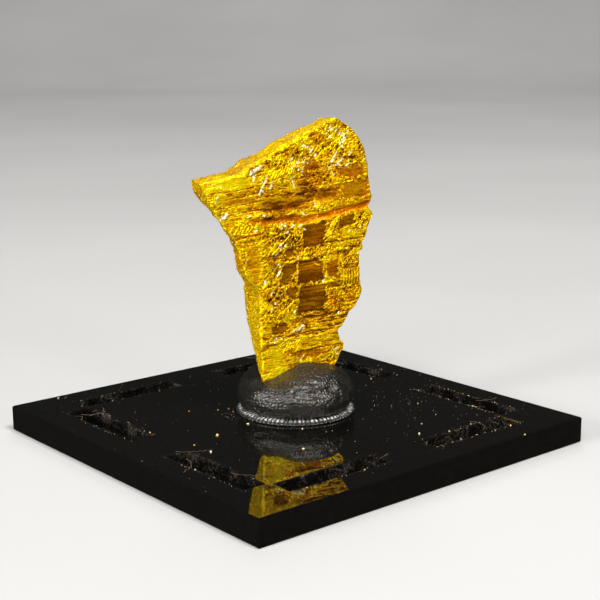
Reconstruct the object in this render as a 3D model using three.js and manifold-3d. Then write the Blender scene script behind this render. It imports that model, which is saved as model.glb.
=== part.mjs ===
// An orpiment specimen: a golden cleavage blade stood in a blob of mounting putty, on a fluted clear
// disc in the middle of a slotted black acrylic plate. Millimetres, +Z up, the plate's underside on z = 0
// and its centre on the Z axis, with two of its edges along X.

import * as THREE from "three";
import { mergeVertices } from "three/addons/utils/BufferGeometryUtils.js";
import Module from "manifold-3d";

const wasm = await Module();
wasm.setup();

// ---- driving dimensions -------------------------------------------------------------------------

const PLATE = { side: 50, thickness: 3.2, chamfer: 0.15 };
const SLOT = { inset: 3.75, width: 2.75, length: 14, fromMiddle: 10.75 };
const CENTRE = { x: 1.05, y: 0.5 }; // the disc and the putty stand a little off the plate's centre
const DISC = { radius: 7.4, footHeight: 0.25, topRadius: 6.75, height: 0.5, flutes: 80, fluteDepth: 0.22 };
const PUTTY = { sides: 44, lump: 0.16, lumpSize: 1.8 };
const THUMB_DENT = { x: 0.2, y: -6.6, z: 3.1, radius: 1.7, depth: 0.35 }; // low on the putty's front
const BLADE = { x: 1.5, y: -1, yaw: -7, rim: 0.32, rimSetback: 0.25 };
const FLAKE = { length: 2.1, height: 1.05, step: 0.2 }; // the hackled scales of a broken face
const WAVE = { length: 3.4, height: 4.2 }; // the slow swell under them
const MARGIN = 0.35; // from an edge of the blade to its first inner row or column
const CLEARANCE = 0.32; // between the blade's root and the socket it has pressed in the putty

// The putty's profile: radius and height above the disc, from the foot to the crown.
const PUTTY_PROFILE = [
  [6.1, 0], [6.75, 0.4], [7.1, 0.95], [7.28, 1.7], [7.18, 2.5], [6.8, 3.3],
  [6.1, 4.1], [5.1, 4.75], [3.9, 5.2], [2.5, 5.5], [1.2, 5.62], [0, 5.65],
];

// The blade is drawn in its own frame: u runs along it to the right, w upwards from the plate's top,
// and v backwards from its front face. Edges are listed upwards as [w, u].
const LEFT_EDGE = [
  [3.2, -4.9], [4.1, -5.6], [4.7, -5.95], [8, -6.15], [12, -6.22], [15.3, -6.2], [16.3, -6.7],
  [17.3, -7.8], [18.4, -8.35], [21.1, -9.1], [22.2, -9.65], [24.9, -11.7], [26.4, -12.6], [27.7, -13.2],
  [29.2, -14],
];
const RIGHT_EDGE = [
  [3.2, 3.9], [5.2, 4.3], [7.3, 5.65], [7.95, 5.65], [8.3, 5.2], [9.6, 4.75], [10.1, 5.3], [11.8, 6.65],
  [12.4, 7.4], [13.4, 8.15], [14.25, 8.45], [16, 8.1], [19.2, 8], [19.5, 8.55], [20.2, 8.4], [21.2, 9],
  [23.4, 9.85], [24.1, 9.85], [24.65, 9.35], [25.4, 9.75], [26, 9.9], [27.4, 9.5], [30.6, 9.1],
  [31.6, 8.8], [32.6, 8.25], [33.5, 7.75], [34.2, 7.1], [34.7, 6.3],
];
// The top edge, from the horn on the left to the shoulder on the right, as [u, w].
const TOP_EDGE = [
  [-14, 29.2], [-12.2, 29.5], [-10.4, 29.7], [-8.6, 30.05], [-7.5, 30.95], [-5.4, 31.75], [-4.2, 32.3],
  [-3.1, 33], [-1.3, 33.55], [0.4, 34.35], [2.2, 35], [3.1, 35.35], [3.8, 35.75], [4.6, 35.75],
  [5.4, 35.35], [6.3, 34.7],
];
// The broken root that the putty hides, as [u, w].
const ROOT_EDGE = [[-4.9, 3.2], [-3, 2.75], [-1.2, 3], [0.5, 2.55], [2.4, 2.7], [3.9, 3.2]];
// Thickness up the left and the right side, and how far the back face is set in from the left edge,
// listed upwards as [w, value].
const LEFT_THICKNESS = [
  [3.2, 0.9], [4.6, 1.1], [5.8, 1.8], [7, 2.4], [8.5, 2.9], [10, 3.3], [12, 3.7], [15, 3.9], [17, 3.6],
  [24, 3.3], [26, 2.7], [29.2, 2.4],
];
const RIGHT_THICKNESS = [[3.2, 1.9], [8, 2.6], [14, 3.1], [20, 3.2], [26, 3], [31, 2.8], [34.7, 2.3]];
const LEFT_SETBACK = [
  [3.2, 0.2], [6, 0.45], [8.5, 0.5], [12, 0.1], [15.5, -0.1], [17, 0.8], [22, 1], [24.5, 1.2],
  [26.2, 0.6], [28, 0.2], [29.2, 0.35],
];

// What breaks the faces. Grooves are cut in to depth v, and bars stand out, along lines of
// [u, w, half width]. Windows are flat cleavage panels of [u from, u to, w from, w to, depth].
const GROOVES = [
  { v: 0.95, line: [[-0.9, 23.7, 0.2], [1, 23.95, 0.42], [6.8, 24.75, 0.5], [11, 25.15, 0.42]] },
  { v: 0.4, line: [[-10.8, 22.2, 0.16], [-7, 22.65, 0.22], [-0.9, 23.6, 0.2]] },
  { v: 0.35, line: [[-14.3, 28, 0.12], [-10, 28.15, 0.2], [-7, 28.4, 0.16]] },
  { v: 0.5, line: [[-5.6, 24.55, 0.2], [-4, 24.7, 0.5], [-1, 25.3, 0.6], [2.2, 25.9, 0.25]] },
  { v: 0.45, line: [[-2.4, 9.7, 0.12], [1, 9.95, 0.2], [6.4, 10, 0.3]] },
  { v: 0.4, line: [[2.6, 21, 0.12], [3.8, 22.4, 0.22], [4.9, 23.6, 0.12]] },
];
const BACK_GROOVES = [
  { v: 2.2, line: [[-2.5, 24.2, 0.2], [4, 24.5, 0.5], [11, 24.6, 0.5]] },
  { v: 2.3, line: [[-9.6, 19.2, 0.3], [-3, 18.6, 0.5], [2.5, 18.9, 0.15]] },
  { v: 2.1, line: [[-4.5, 11.6, 0.15], [1.5, 10.2, 0.45], [7, 9.6, 0.4]] },
];
const BARS = [
  { v: -0.32, line: [[-6, 9.2, 0.3], [-3.7, 9.4, 0.35], [-0.8, 9.3, 0.3], [4.4, 9.5, 0.2]] },
  { v: -0.25, line: [[-3.3, 8.25, 0.2], [-0.8, 8.25, 0.28], [5, 8.6, 0.2]] },
  { v: -0.28, line: [[-3.5, 18.5, 0.2], [-2.7, 19, 0.25], [0.4, 19.4, 0.28], [6.6, 19.9, 0.2]] },
  { v: -0.22, line: [[2.2, 16.9, 0.15], [4.6, 17.1, 0.25], [7.6, 17.4, 0.2]] },
  { v: -0.22, line: [[2.8, 15, 0.15], [5.2, 15.2, 0.22], [8, 15.3, 0.2]] },
  { v: -0.45, line: [[-7.7, 24.8, 0.1], [-6.8, 25, 0.5], [-5.4, 25.1, 0.45], [-4.1, 25, 0.12]] },
  { v: -0.3, line: [[-10.9, 25.1, 0.15], [-10.2, 25.3, 0.35], [-9.2, 25.9, 0.15]] },
  { v: -0.3, line: [[-7.9, 28.6, 0.12], [-6.9, 29.9, 0.3], [-6.1, 30.6, 0.12]] },
  { v: -0.3, line: [[-2.2, 10.2, 0.15], [-1.2, 10.5, 0.5], [0, 10.8, 0.2]] },
];
const WINDOWS = [
  [-0.5, 2.8, 20.3, 23.2, 0.5], [-1, 2.4, 16, 18.8, 0.55], [-0.9, 2.9, 12.6, 15.6, 0.5],
  [3.2, 4.8, 16.1, 18.2, 0.4], [-2.9, -1.3, 15.7, 18.7, 0.4], [4.9, 6.7, 22.3, 23.9, 0.45],
  [4.6, 8.5, 28.3, 29.5, 0.4], [5, 8.9, 25.9, 28, 0.5], [-5.1, -2.6, 10.1, 11.6, 0.6],
  [-1.4, 2.4, 6.5, 7.6, 0.4],
];

// ---- small helpers ------------------------------------------------------------------------------

const lerp = (a, b, t) => a + (b - a) * t;

// The value at x of a table of [x, value] rows, in straight steps.
function along(table, x) {
  const last = table.length - 1;
  let i = 0;
  while (i < last - 1 && table[i + 1][0] < x) i++;
  const [x0, y0] = table[i];
  const [x1, y1] = table[i + 1];
  return lerp(y0, y1, THREE.MathUtils.clamp((x - x0) / (x1 - x0), 0, 1));
}

// Repeatable noise from -1 to 1, one value for each pair of whole numbers.
function hash(i, j) {
  const x = Math.sin(i * 127.1 + j * 311.7) * 43758.5453;
  return 2 * (x - Math.floor(x)) - 1;
}

// The same noise made smooth, for lumps.
function smoothNoise(x, y) {
  const i = Math.floor(x);
  const j = Math.floor(y);
  const fx = THREE.MathUtils.smoothstep(x - i, 0, 1);
  const fy = THREE.MathUtils.smoothstep(y - j, 0, 1);
  const low = lerp(hash(i, j), hash(i + 1, j), fx);
  return lerp(low, lerp(hash(i, j + 1), hash(i + 1, j + 1), fx), fy);
}

// A closed surface through a row of closed sections with equal numbers of points, each [x, y, z].
// The end caps are strips, so a section may be long and thin.
function loft(sections) {
  const n = sections[0].length;
  const index = [];
  const quad = (a, b, c, d) => index.push(a, b, c, a, c, d);
  for (let row = 0; row + 1 < sections.length; row++) {
    for (let k = 0; k < n; k++) {
      const next = (k + 1) % n;
      quad(row * n + k, row * n + next, (row + 1) * n + next, (row + 1) * n + k);
    }
  }
  const top = (sections.length - 1) * n;
  for (let k = 0; k + 1 < n - 1 - k; k++) {
    const [a, b] = [n - 1 - k, n - 2 - k];
    if (b === k + 1) {
      index.push(k, a, b);
      index.push(top + k, top + b, top + a);
    } else {
      quad(k, a, b, k + 1);
      quad(top + k, top + k + 1, top + b, top + a);
    }
  }
  const geometry = new THREE.BufferGeometry();
  geometry.setAttribute("position", new THREE.Float32BufferAttribute(sections.flat(2), 3));
  geometry.setIndex(index);
  return geometry;
}

function toSolid(geometry) {
  const bare = geometry.clone();
  bare.deleteAttribute("normal");
  bare.deleteAttribute("uv");
  const merged = mergeVertices(bare, 1e-4);
  return new wasm.Manifold(
    new wasm.Mesh({
      numProp: 3,
      vertProperties: merged.attributes.position.array,
      triVerts: new Uint32Array(merged.index.array),
    }),
  );
}

function toGeometry(solid) {
  const { vertProperties, triVerts } = solid.getMesh();
  const geometry = new THREE.BufferGeometry();
  geometry.setAttribute("position", new THREE.BufferAttribute(vertProperties, 3));
  geometry.setIndex(new THREE.BufferAttribute(triVerts, 1));
  return geometry;
}

function named(name, geometry, material) {
  const mesh = new THREE.Mesh(geometry, material);
  mesh.name = name;
  return mesh;
}

// ---- the plate ----------------------------------------------------------------------------------

// The four corners of a rectangle at height z, from its low corner, with every side moved out by grow.
function rectangle(x, y, width, height, z, grow) {
  const [x0, x1, y0, y1] = [x - grow, x + width + grow, y - grow, y + height + grow];
  return [[x0, y0, z], [x1, y0, z], [x1, y1, z], [x0, y1, z]];
}

function plateSolid() {
  const { side, thickness, chamfer } = PLATE;
  const square = (z, grow) => rectangle(-side / 2, -side / 2, side, side, z, grow);
  const heights = [[0, -chamfer], [chamfer, 0], [thickness - chamfer, 0], [thickness, -chamfer]];
  let solid = toSolid(loft(heights.map(([z, grow]) => square(z, grow))));

  // Eight slots with chamfered mouths, two near each side, cut right through.
  const past = 1;
  const flare = chamfer + past;
  const mouths = [[-past, flare], [chamfer, 0], [thickness - chamfer, 0], [thickness + past, flare]];
  const cut = (x, y, width, height) => {
    const slot = loft(mouths.map(([z, grow]) => rectangle(x, y, width, height, z, grow)));
    solid = solid.subtract(toSolid(slot));
  };
  const near = side / 2 - SLOT.inset - SLOT.width;
  for (const across of [near, -near - SLOT.width]) {
    for (const middle of [-SLOT.fromMiddle, SLOT.fromMiddle]) {
      cut(middle - SLOT.length / 2, across, SLOT.length, SLOT.width);
      cut(across, middle - SLOT.length / 2, SLOT.width, SLOT.length);
    }
  }
  return solid;
}

// ---- the clear disc -----------------------------------------------------------------------------

// Its sloping rim is crimped into radial flutes. Each face is a fan round its middle.
function discGeometry() {
  const points = 2 * DISC.flutes;
  const ring = (radius, z) =>
    Array.from({ length: points }, (_, k) => {
      const angle = (2 * Math.PI * k) / points;
      const r = Math.max(radius - (k % 2) * DISC.fluteDepth, 0);
      return [r * Math.cos(angle), r * Math.sin(angle), z];
    });
  return loft([
    ring(0, 0),
    ring(DISC.radius, 0),
    ring(DISC.radius, DISC.footHeight),
    ring(DISC.topRadius, DISC.height),
    ring(0, DISC.height),
  ]);
}

// ---- the putty ----------------------------------------------------------------------------------

// A hand-pressed dome with soft lumps and a shallow thumb dent. Its foot stays flat on the disc.
function puttyGeometry() {
  const profile = PUTTY_PROFILE.map(([r, z]) => new THREE.Vector2(r, z));
  const geometry = new THREE.LatheGeometry([new THREE.Vector2(0, 0), ...profile], PUTTY.sides);
  geometry.rotateX(Math.PI / 2);
  const position = geometry.attributes.position;
  const dent = new THREE.Vector3(THUMB_DENT.x, THUMB_DENT.y, THUMB_DENT.z);
  const point = new THREE.Vector3();
  for (let i = 0; i < position.count; i++) {
    point.fromBufferAttribute(position, i);
    if (point.z < 0.01) continue;
    const lump = PUTTY.lump * smoothNoise(point.x / PUTTY.lumpSize, (point.y + point.z) / PUTTY.lumpSize);
    const press = THUMB_DENT.depth * Math.exp(-((point.distanceTo(dent) / THUMB_DENT.radius) ** 2));
    point.multiplyScalar(1 + (lump - press) / PUTTY_PROFILE[0][0]);
    position.setXYZ(i, point.x, point.y, point.z);
  }
  return geometry;
}

// ---- the blade ----------------------------------------------------------------------------------

const W_LEFT = [LEFT_EDGE[0][0], LEFT_EDGE.at(-1)[0]];
const W_RIGHT = [RIGHT_EDGE[0][0], RIGHT_EDGE.at(-1)[0]];
const U_TOP = [TOP_EDGE[0][0], TOP_EDGE.at(-1)[0]];
const U_ROOT = [ROOT_EDGE[0][0], ROOT_EDGE.at(-1)[0]];

// Numbers from 0 to 1, one for each row of an edge, with more between where they lie far apart.
function stations(edge, widest) {
  const first = edge[0][0];
  const span = edge.at(-1)[0] - first;
  const kept = edge.map(([x]) => (x - first) / span);
  const all = [0, MARGIN / span];
  for (const t of [...kept.slice(1, -1), 1 - MARGIN / span, 1]) {
    const last = all.at(-1);
    const steps = Math.ceil(((t - last) * span) / widest);
    for (let k = 1; k <= steps; k++) {
      if (t - last > 1e-6) all.push(lerp(last, t, k / steps));
    }
  }
  return all;
}

// Height of a row's point, s of the way along and t of the way up: the rows are straight, and bend to
// the top edge and the root only near them.
const rootFade = (t) => (1 - t) ** 12;
const topFade = (t) => t ** 5;
function rowHeight(s, t) {
  const straight = lerp(lerp(W_LEFT[0], W_RIGHT[0], s), lerp(W_LEFT[1], W_RIGHT[1], s), t);
  const top = along(TOP_EDGE, lerp(...U_TOP, s)) - lerp(W_LEFT[1], W_RIGHT[1], s);
  const root = along(ROOT_EDGE, lerp(...U_ROOT, s)) - lerp(W_LEFT[0], W_RIGHT[0], s);
  return straight + top * topFade(t) + root * rootFade(t);
}

// How far a face lies in from its flat: flakes in staggered courses, over slow waves.
function relief(u, w, seed) {
  const course = Math.floor(w / FLAKE.height);
  const flake = hash(Math.floor(u / FLAKE.length + hash(course, seed)) + seed, course);
  return FLAKE.step * (1 + flake + smoothNoise(u / WAVE.length + seed, w / WAVE.height));
}

// One section of the blade: its front from left to right, then its back from right to left.
function bladeSection(t, grown) {
  const wl = lerp(...W_LEFT, t);
  const wr = lerp(...W_RIGHT, t);
  const left = along(LEFT_EDGE, wl) - grown;
  const right = along(RIGHT_EDGE, wr) + grown;
  const atEnd = t === 0 || t === 1;
  const drop = grown * rootFade(t);
  const faces = { front: [], back: [] };
  for (const s of COLUMNS) {
    const w = rowHeight(s, t) - drop;
    const thickness = lerp(along(LEFT_THICKNESS, wl), along(RIGHT_THICKNESS, wr), s);
    const atRim = atEnd || s === 0 || s === 1;
    const uFront = lerp(left, right, s);
    const uBack = lerp(left + along(LEFT_SETBACK, wl), right - BLADE.rimSetback, s);
    const rim = Math.min(BLADE.rim, thickness / 4);
    const frontV = atRim ? rim : relief(uFront, w, 0);
    const backV = thickness - (atRim ? rim : relief(uBack, w, 17));
    faces.front.push([uFront, frontV - grown, w]);
    faces.back.push([uBack, backV + grown, w]);
  }
  return [...faces.front, ...faces.back.reverse()];
}

// A bar of triangular section along a line on a face, with its foot at one depth and its ridge at another.
function bar(line, foot, ridge) {
  const sections = line.map(([u, w, half]) => [[u, foot, w - half], [u, ridge, w], [u, foot, w + half]]);
  return toSolid(loft(ridge > foot ? sections : sections.map((section) => section.reverse())));
}

const COLUMNS = stations(TOP_EDGE, 2);
const ROWS = stations(RIGHT_EDGE, 1.1);

function bladeSolid() {
  let solid = toSolid(loft(ROWS.map((t) => bladeSection(t, 0))));
  const [ahead, inside, behind] = [-0.6, 0.6, 4.6];
  for (const { v, line } of BARS) solid = solid.add(bar(line, inside, v));
  for (const { v, line } of GROOVES) solid = solid.subtract(bar(line, ahead, v));
  for (const { v, line } of BACK_GROOVES) solid = solid.subtract(bar(line, behind, v));
  for (const [u0, u1, w0, w1, depth] of WINDOWS) {
    const panel = new THREE.BoxGeometry(u1 - u0, depth - ahead, w1 - w0);
    solid = solid.subtract(toSolid(panel.translate((u0 + u1) / 2, (depth + ahead) / 2, (w0 + w1) / 2)));
  }
  return solid;
}

// The hollow that the root has pressed: the blade's lowest fifth, grown by the clearance.
function socketSolid(placed) {
  const sections = ROWS.filter((t) => t < 0.2).map((t) => bladeSection(t, CLEARANCE));
  return toSolid(loft(sections).applyMatrix4(placed));
}

// ---- the whole ----------------------------------------------------------------------------------

const acrylic = new THREE.MeshStandardMaterial({ color: 0x0b0b0a, roughness: 0.08, metalness: 0 });
const clear = new THREE.MeshStandardMaterial({ color: 0xd8dcdc, roughness: 0.25, metalness: 0 });
const tack = new THREE.MeshStandardMaterial({ color: 0x1d1c1b, roughness: 0.5, metalness: 0 });
const orpiment = new THREE.MeshStandardMaterial({ color: 0xe0a008, roughness: 0.3, metalness: 0 });

const specimen = new THREE.Group();
specimen.add(named("base_plate", toGeometry(plateSolid()), acrylic));

const disc = named("foot_disc", discGeometry(), clear);
disc.position.set(CENTRE.x, CENTRE.y, PLATE.thickness);
specimen.add(disc);

const stand = new THREE.Group();
stand.position.set(BLADE.x, BLADE.y, PLATE.thickness);
stand.rotation.z = THREE.MathUtils.degToRad(BLADE.yaw);
stand.updateMatrix();
stand.add(named("orpiment_blade", toGeometry(bladeSolid()), orpiment));
specimen.add(stand);

const puttyFoot = new THREE.Vector3(CENTRE.x, CENTRE.y, PLATE.thickness + DISC.height);
const toPutty = new THREE.Matrix4().makeTranslation(puttyFoot.clone().negate()).multiply(stand.matrix);
const puttySolid = toSolid(puttyGeometry()).subtract(socketSolid(toPutty));
const putty = named("putty_mount", toGeometry(puttySolid), tack);
putty.position.copy(puttyFoot);
specimen.add(putty);

export default specimen;
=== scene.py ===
"""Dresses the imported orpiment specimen: the golden blade, its putty, its fluted disc and its dusty plate."""

import math
from types import SimpleNamespace

import bpy
import numpy as np
from mathutils import Matrix, Vector


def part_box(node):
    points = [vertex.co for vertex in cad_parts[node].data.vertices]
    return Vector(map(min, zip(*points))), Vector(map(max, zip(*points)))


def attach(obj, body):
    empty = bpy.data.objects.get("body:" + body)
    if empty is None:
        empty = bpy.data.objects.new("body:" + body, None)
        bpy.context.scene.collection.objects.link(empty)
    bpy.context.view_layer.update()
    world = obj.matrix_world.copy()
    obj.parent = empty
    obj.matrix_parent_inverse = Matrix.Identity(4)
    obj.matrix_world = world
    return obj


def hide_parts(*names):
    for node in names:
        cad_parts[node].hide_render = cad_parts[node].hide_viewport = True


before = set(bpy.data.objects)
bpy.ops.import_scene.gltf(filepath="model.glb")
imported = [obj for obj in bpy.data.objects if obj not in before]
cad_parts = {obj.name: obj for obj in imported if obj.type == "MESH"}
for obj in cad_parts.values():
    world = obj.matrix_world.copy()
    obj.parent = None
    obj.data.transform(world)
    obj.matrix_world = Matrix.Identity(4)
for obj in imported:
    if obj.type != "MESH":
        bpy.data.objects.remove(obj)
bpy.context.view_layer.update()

MM = 0.001

# ---- where things are, from the frame ----

PLATE_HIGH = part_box("base_plate")[1]
DISC_LOW, DISC_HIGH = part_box("foot_disc")
TOP = PLATE_HIGH.z / MM  # the plate's top face, mm
CENTRE = np.array([(DISC_LOW.x + DISC_HIGH.x) / 2, (DISC_LOW.y + DISC_HIGH.y) / 2]) / MM

# The blade's own frame: u along it to the right, v back from its front face, w up from the plate's top.
BLADE_AT = np.array([1.5, -1.0])
YAW = math.radians(-7)


def to_world(u, v, w):
    """Blade-frame points as an (n, 3) array of millimetres in the part's frame."""
    x = BLADE_AT[0] + u * math.cos(YAW) - v * math.sin(YAW)
    y = BLADE_AT[1] + u * math.sin(YAW) + v * math.cos(YAW)
    return np.stack([x, y, w + TOP], axis=-1)


# ---- noise ----
# The last number that each call passes is a seed, which picks the pattern.


def chance(i, j, seed):
    """A repeatable number from 0 to 1 for each pair of whole numbers."""
    x = np.sin(i * 127.1 + j * 311.7 + seed * 74.7) * 43758.5453
    return x - np.floor(x)


def waves(x, y, seed):
    """Smooth noise from -1 to 1 with lumps one unit across."""
    i, j = np.floor(x), np.floor(y)
    fx, fy = x - i, y - j
    fx, fy = fx * fx * (3 - 2 * fx), fy * fy * (3 - 2 * fy)
    low = chance(i, j, seed) * (1 - fx) + chance(i + 1, j, seed) * fx
    high = chance(i, j + 1, seed) * (1 - fx) + chance(i + 1, j + 1, seed) * fx
    return 2 * (low * (1 - fy) + high * fy) - 1


def facets(x, y, seed):
    """Broken crystal, each cell one tilted flat: its height, its own chance, and the way to its edge."""
    i, j = np.floor(x), np.floor(y)
    nearest, second = np.full(np.shape(x), 9.0), np.full(np.shape(x), 9.0)
    height, own = np.zeros(np.shape(x)), np.zeros(np.shape(x))
    for di in (-1, 0, 1):
        for dj in (-1, 0, 1):
            ci, cj = i + di, j + dj
            dx = x - ci - 0.1 - 0.8 * chance(ci, cj, seed)
            dy = y - cj - 0.1 - 0.8 * chance(ci, cj, seed + 1)
            distance = np.hypot(dx, dy)
            tilt_x = 2 * chance(ci, cj, seed + 2) - 1
            tilt_y = 2 * chance(ci, cj, seed + 3) - 1
            flat = tilt_x * dx + tilt_y * dy + 0.5 * (2 * chance(ci, cj, seed + 4) - 1)
            closer = distance < nearest
            second = np.minimum(np.where(closer, nearest, distance), second)
            height = np.where(closer, flat, height)
            own = np.where(closer, chance(ci, cj, seed + 5), own)
            nearest = np.where(closer, distance, nearest)
    return height, own, second - nearest


def ramp(x, low, high):
    """0 below low, 1 above high, smooth between."""
    t = np.clip((x - low) / (high - low), 0, 1)
    return t * t * (3 - 2 * t)


# ---- the blade's outline and thickness, as in the solid, with more points at the horn ----

# Its edges: (w, u) on the left and the right, and (u, w) at the top and the root.
LEFT_EDGE = [
    (3.2, -4.9), (4.1, -5.6), (4.7, -5.95), (8, -6.15), (12, -6.22), (15.3, -6.2), (16.3, -6.7),
    (17.3, -7.8), (18.4, -8.35), (21.1, -9.1), (22.2, -9.65), (24.9, -11.7), (26.4, -12.55), (27.6, -13.15),
    (28.4, -13.6), (29.2, -14.05),
]
RIGHT_EDGE = [
    (3.2, 3.9), (5.2, 4.3), (7.3, 5.65), (7.95, 5.65), (8.3, 5.2), (9.6, 4.75), (10.1, 5.3), (11.8, 6.65),
    (12.4, 7.4), (13.4, 8.15), (14.25, 8.45), (16, 8.1), (19.2, 8), (19.5, 8.55), (20.2, 8.4), (21.2, 9),
    (23.4, 9.85), (24.1, 9.85), (24.65, 9.35), (25.4, 9.75), (26, 9.9), (27.4, 9.5), (30.6, 9.1),
    (31.6, 8.8), (32.6, 8.25), (33.5, 7.75), (34.2, 7.1), (34.7, 6.3),
]
TOP_EDGE = [
    (-14, 29.2), (-12.2, 29.5), (-10.4, 29.7), (-8.6, 30.05), (-7.5, 30.95), (-5.4, 31.75), (-4.2, 32.3),
    (-3.1, 33), (-1.3, 33.55), (0.4, 34.35), (2.2, 35), (3.1, 35.35), (3.8, 35.75), (4.6, 35.75),
    (5.4, 35.35), (6.3, 34.7),
]
ROOT_EDGE = [(-4.9, 3.2), (-3, 2.75), (-1.2, 3), (0.5, 2.55), (2.4, 2.7), (3.9, 3.2)]
# Its thickness up the left and the right side, and how far its back is set in from the left edge: (w, mm).
LEFT_THICKNESS = [
    (3.2, 0.9), (4.6, 1.1), (5.8, 1.8), (7, 2.4), (8.5, 2.9), (10, 3.3), (12, 3.7), (15, 3.9), (17, 3.6),
    (24, 3.3), (26, 2.7), (29.2, 2.4),
]
RIGHT_THICKNESS = [(3.2, 1.9), (8, 2.6), (14, 3.1), (20, 3.2), (26, 3), (31, 2.8), (34.7, 2.3)]
LEFT_SETBACK = [
    (3.2, 0.2), (6, 0.45), (8.5, 0.5), (12, 0.1), (15.5, -0.1), (17, 0.8), (22, 1), (24.5, 1.2),
    (26.2, 0.45), (27.2, -0.1), (28.3, -0.3), (29.2, 0.2),
]
RIGHT_SETBACK = 0.25
# Where the edges end: heights on the left and the right, and places along the top and the root.
W_LEFT, W_RIGHT = (3.2, 29.2), (3.2, 34.7)
U_TOP, U_ROOT = (-14, 6.3), (-4.9, 3.9)
PAST_LEFT, PAST_RIGHT = 0.15, 0.06  # how far the broken sides reach past the edges, mm


def along(table, x):
    """The table's second column at x in its first."""
    xs, ys = zip(*table)
    return np.interp(x, xs, ys)


def mix(a, b, t):
    return a + (b - a) * t


def row_height(s, t):
    """Height of a row of the lattice: level in the middle, bent to the edges at the top and the root."""
    straight = mix(mix(W_LEFT[0], W_RIGHT[0], s), mix(W_LEFT[1], W_RIGHT[1], s), t)
    top = along(TOP_EDGE, mix(*U_TOP, s)) - mix(W_LEFT[1], W_RIGHT[1], s)
    root = along(ROOT_EDGE, mix(*U_ROOT, s)) - mix(W_LEFT[0], W_RIGHT[0], s)
    return straight + top * t**5 + root * (1 - t) ** 12


def outline(s, t, q):
    """Left and right ends, u, thickness and w at the lattice's places: s across, t up and q back, 0 to 1."""
    w_left, w_right = mix(*W_LEFT, t), mix(*W_RIGHT, t)
    left = along(LEFT_EDGE, w_left) + q * along(LEFT_SETBACK, w_left) - PAST_LEFT
    right = along(RIGHT_EDGE, w_right) - q * RIGHT_SETBACK + PAST_RIGHT
    thick = mix(along(LEFT_THICKNESS, w_left), along(RIGHT_THICKNESS, w_right), s)
    u = mix(left, right, s)
    # Left of the middle the back of the top stands higher than its front, most of all near the horn.
    brow = 0.25 * (1 - ramp(u, -0.5, 2.0)) + 0.4 * ramp(u, -9.7, -9.0) * (1 - ramp(u, -8.6, -6.2))
    return left, right, u, thick, row_height(s, t) + brow * q * ramp(t, 0.9, 1.0)


# ---- what is on the blade's front and back, in (u, w) ----
# An oval is given as its middle u and w, then half its width and half its height.

# Smooth cleavage windows: u from, u to, w from, w to, depth, how dark, how striped, lean of the sides.
WINDOWS = [
    (-0.35, 2.7, 20.35, 23.4, 0.05, 1, 0.5, 0.05), (-1.1, 2.55, 15.95, 18.95, 0.06, 1, 1, 0.02),
    (-0.95, 2.9, 12.3, 15.7, 0.05, 1, 0.8, 0.02), (3.1, 4.7, 16.2, 18.5, 0.03, 0.6, 0.9, 0.02),
    (3.15, 5.1, 15.05, 15.85, 0.03, 0.6, 0.5, 0), (-3.4, -1.45, 16.2, 18.8, 0.05, 0.72, 0.1, 0.14),
    (-2.6, -1, 14.2, 15.8, 0.04, 0.75, 0.1, -0.1), (5.1, 7.1, 22.6, 24, 0.04, 0.75, 0.1, 0.1),
    (4.8, 8.6, 28.4, 29.95, 0.04, 0.26, 0.1, 0.1), (5.3, 9.2, 25.8, 28.1, 0.04, 0.34, 0.12, 0.1),
    (-4.8, -2.75, 10.2, 11.4, 0.08, 0.85, 0.7, 0.1), (-0.9, 2.2, 6.6, 7.75, 0.04, 0.35, 0.15, 0.1),
    (-2.7, -1.1, 19.3, 20.6, 0.03, 0.6, 0.2, 0.05), (0.3, 2.2, 29.8, 30.9, 0.03, 0.35, 0.3, 0),
]
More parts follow.
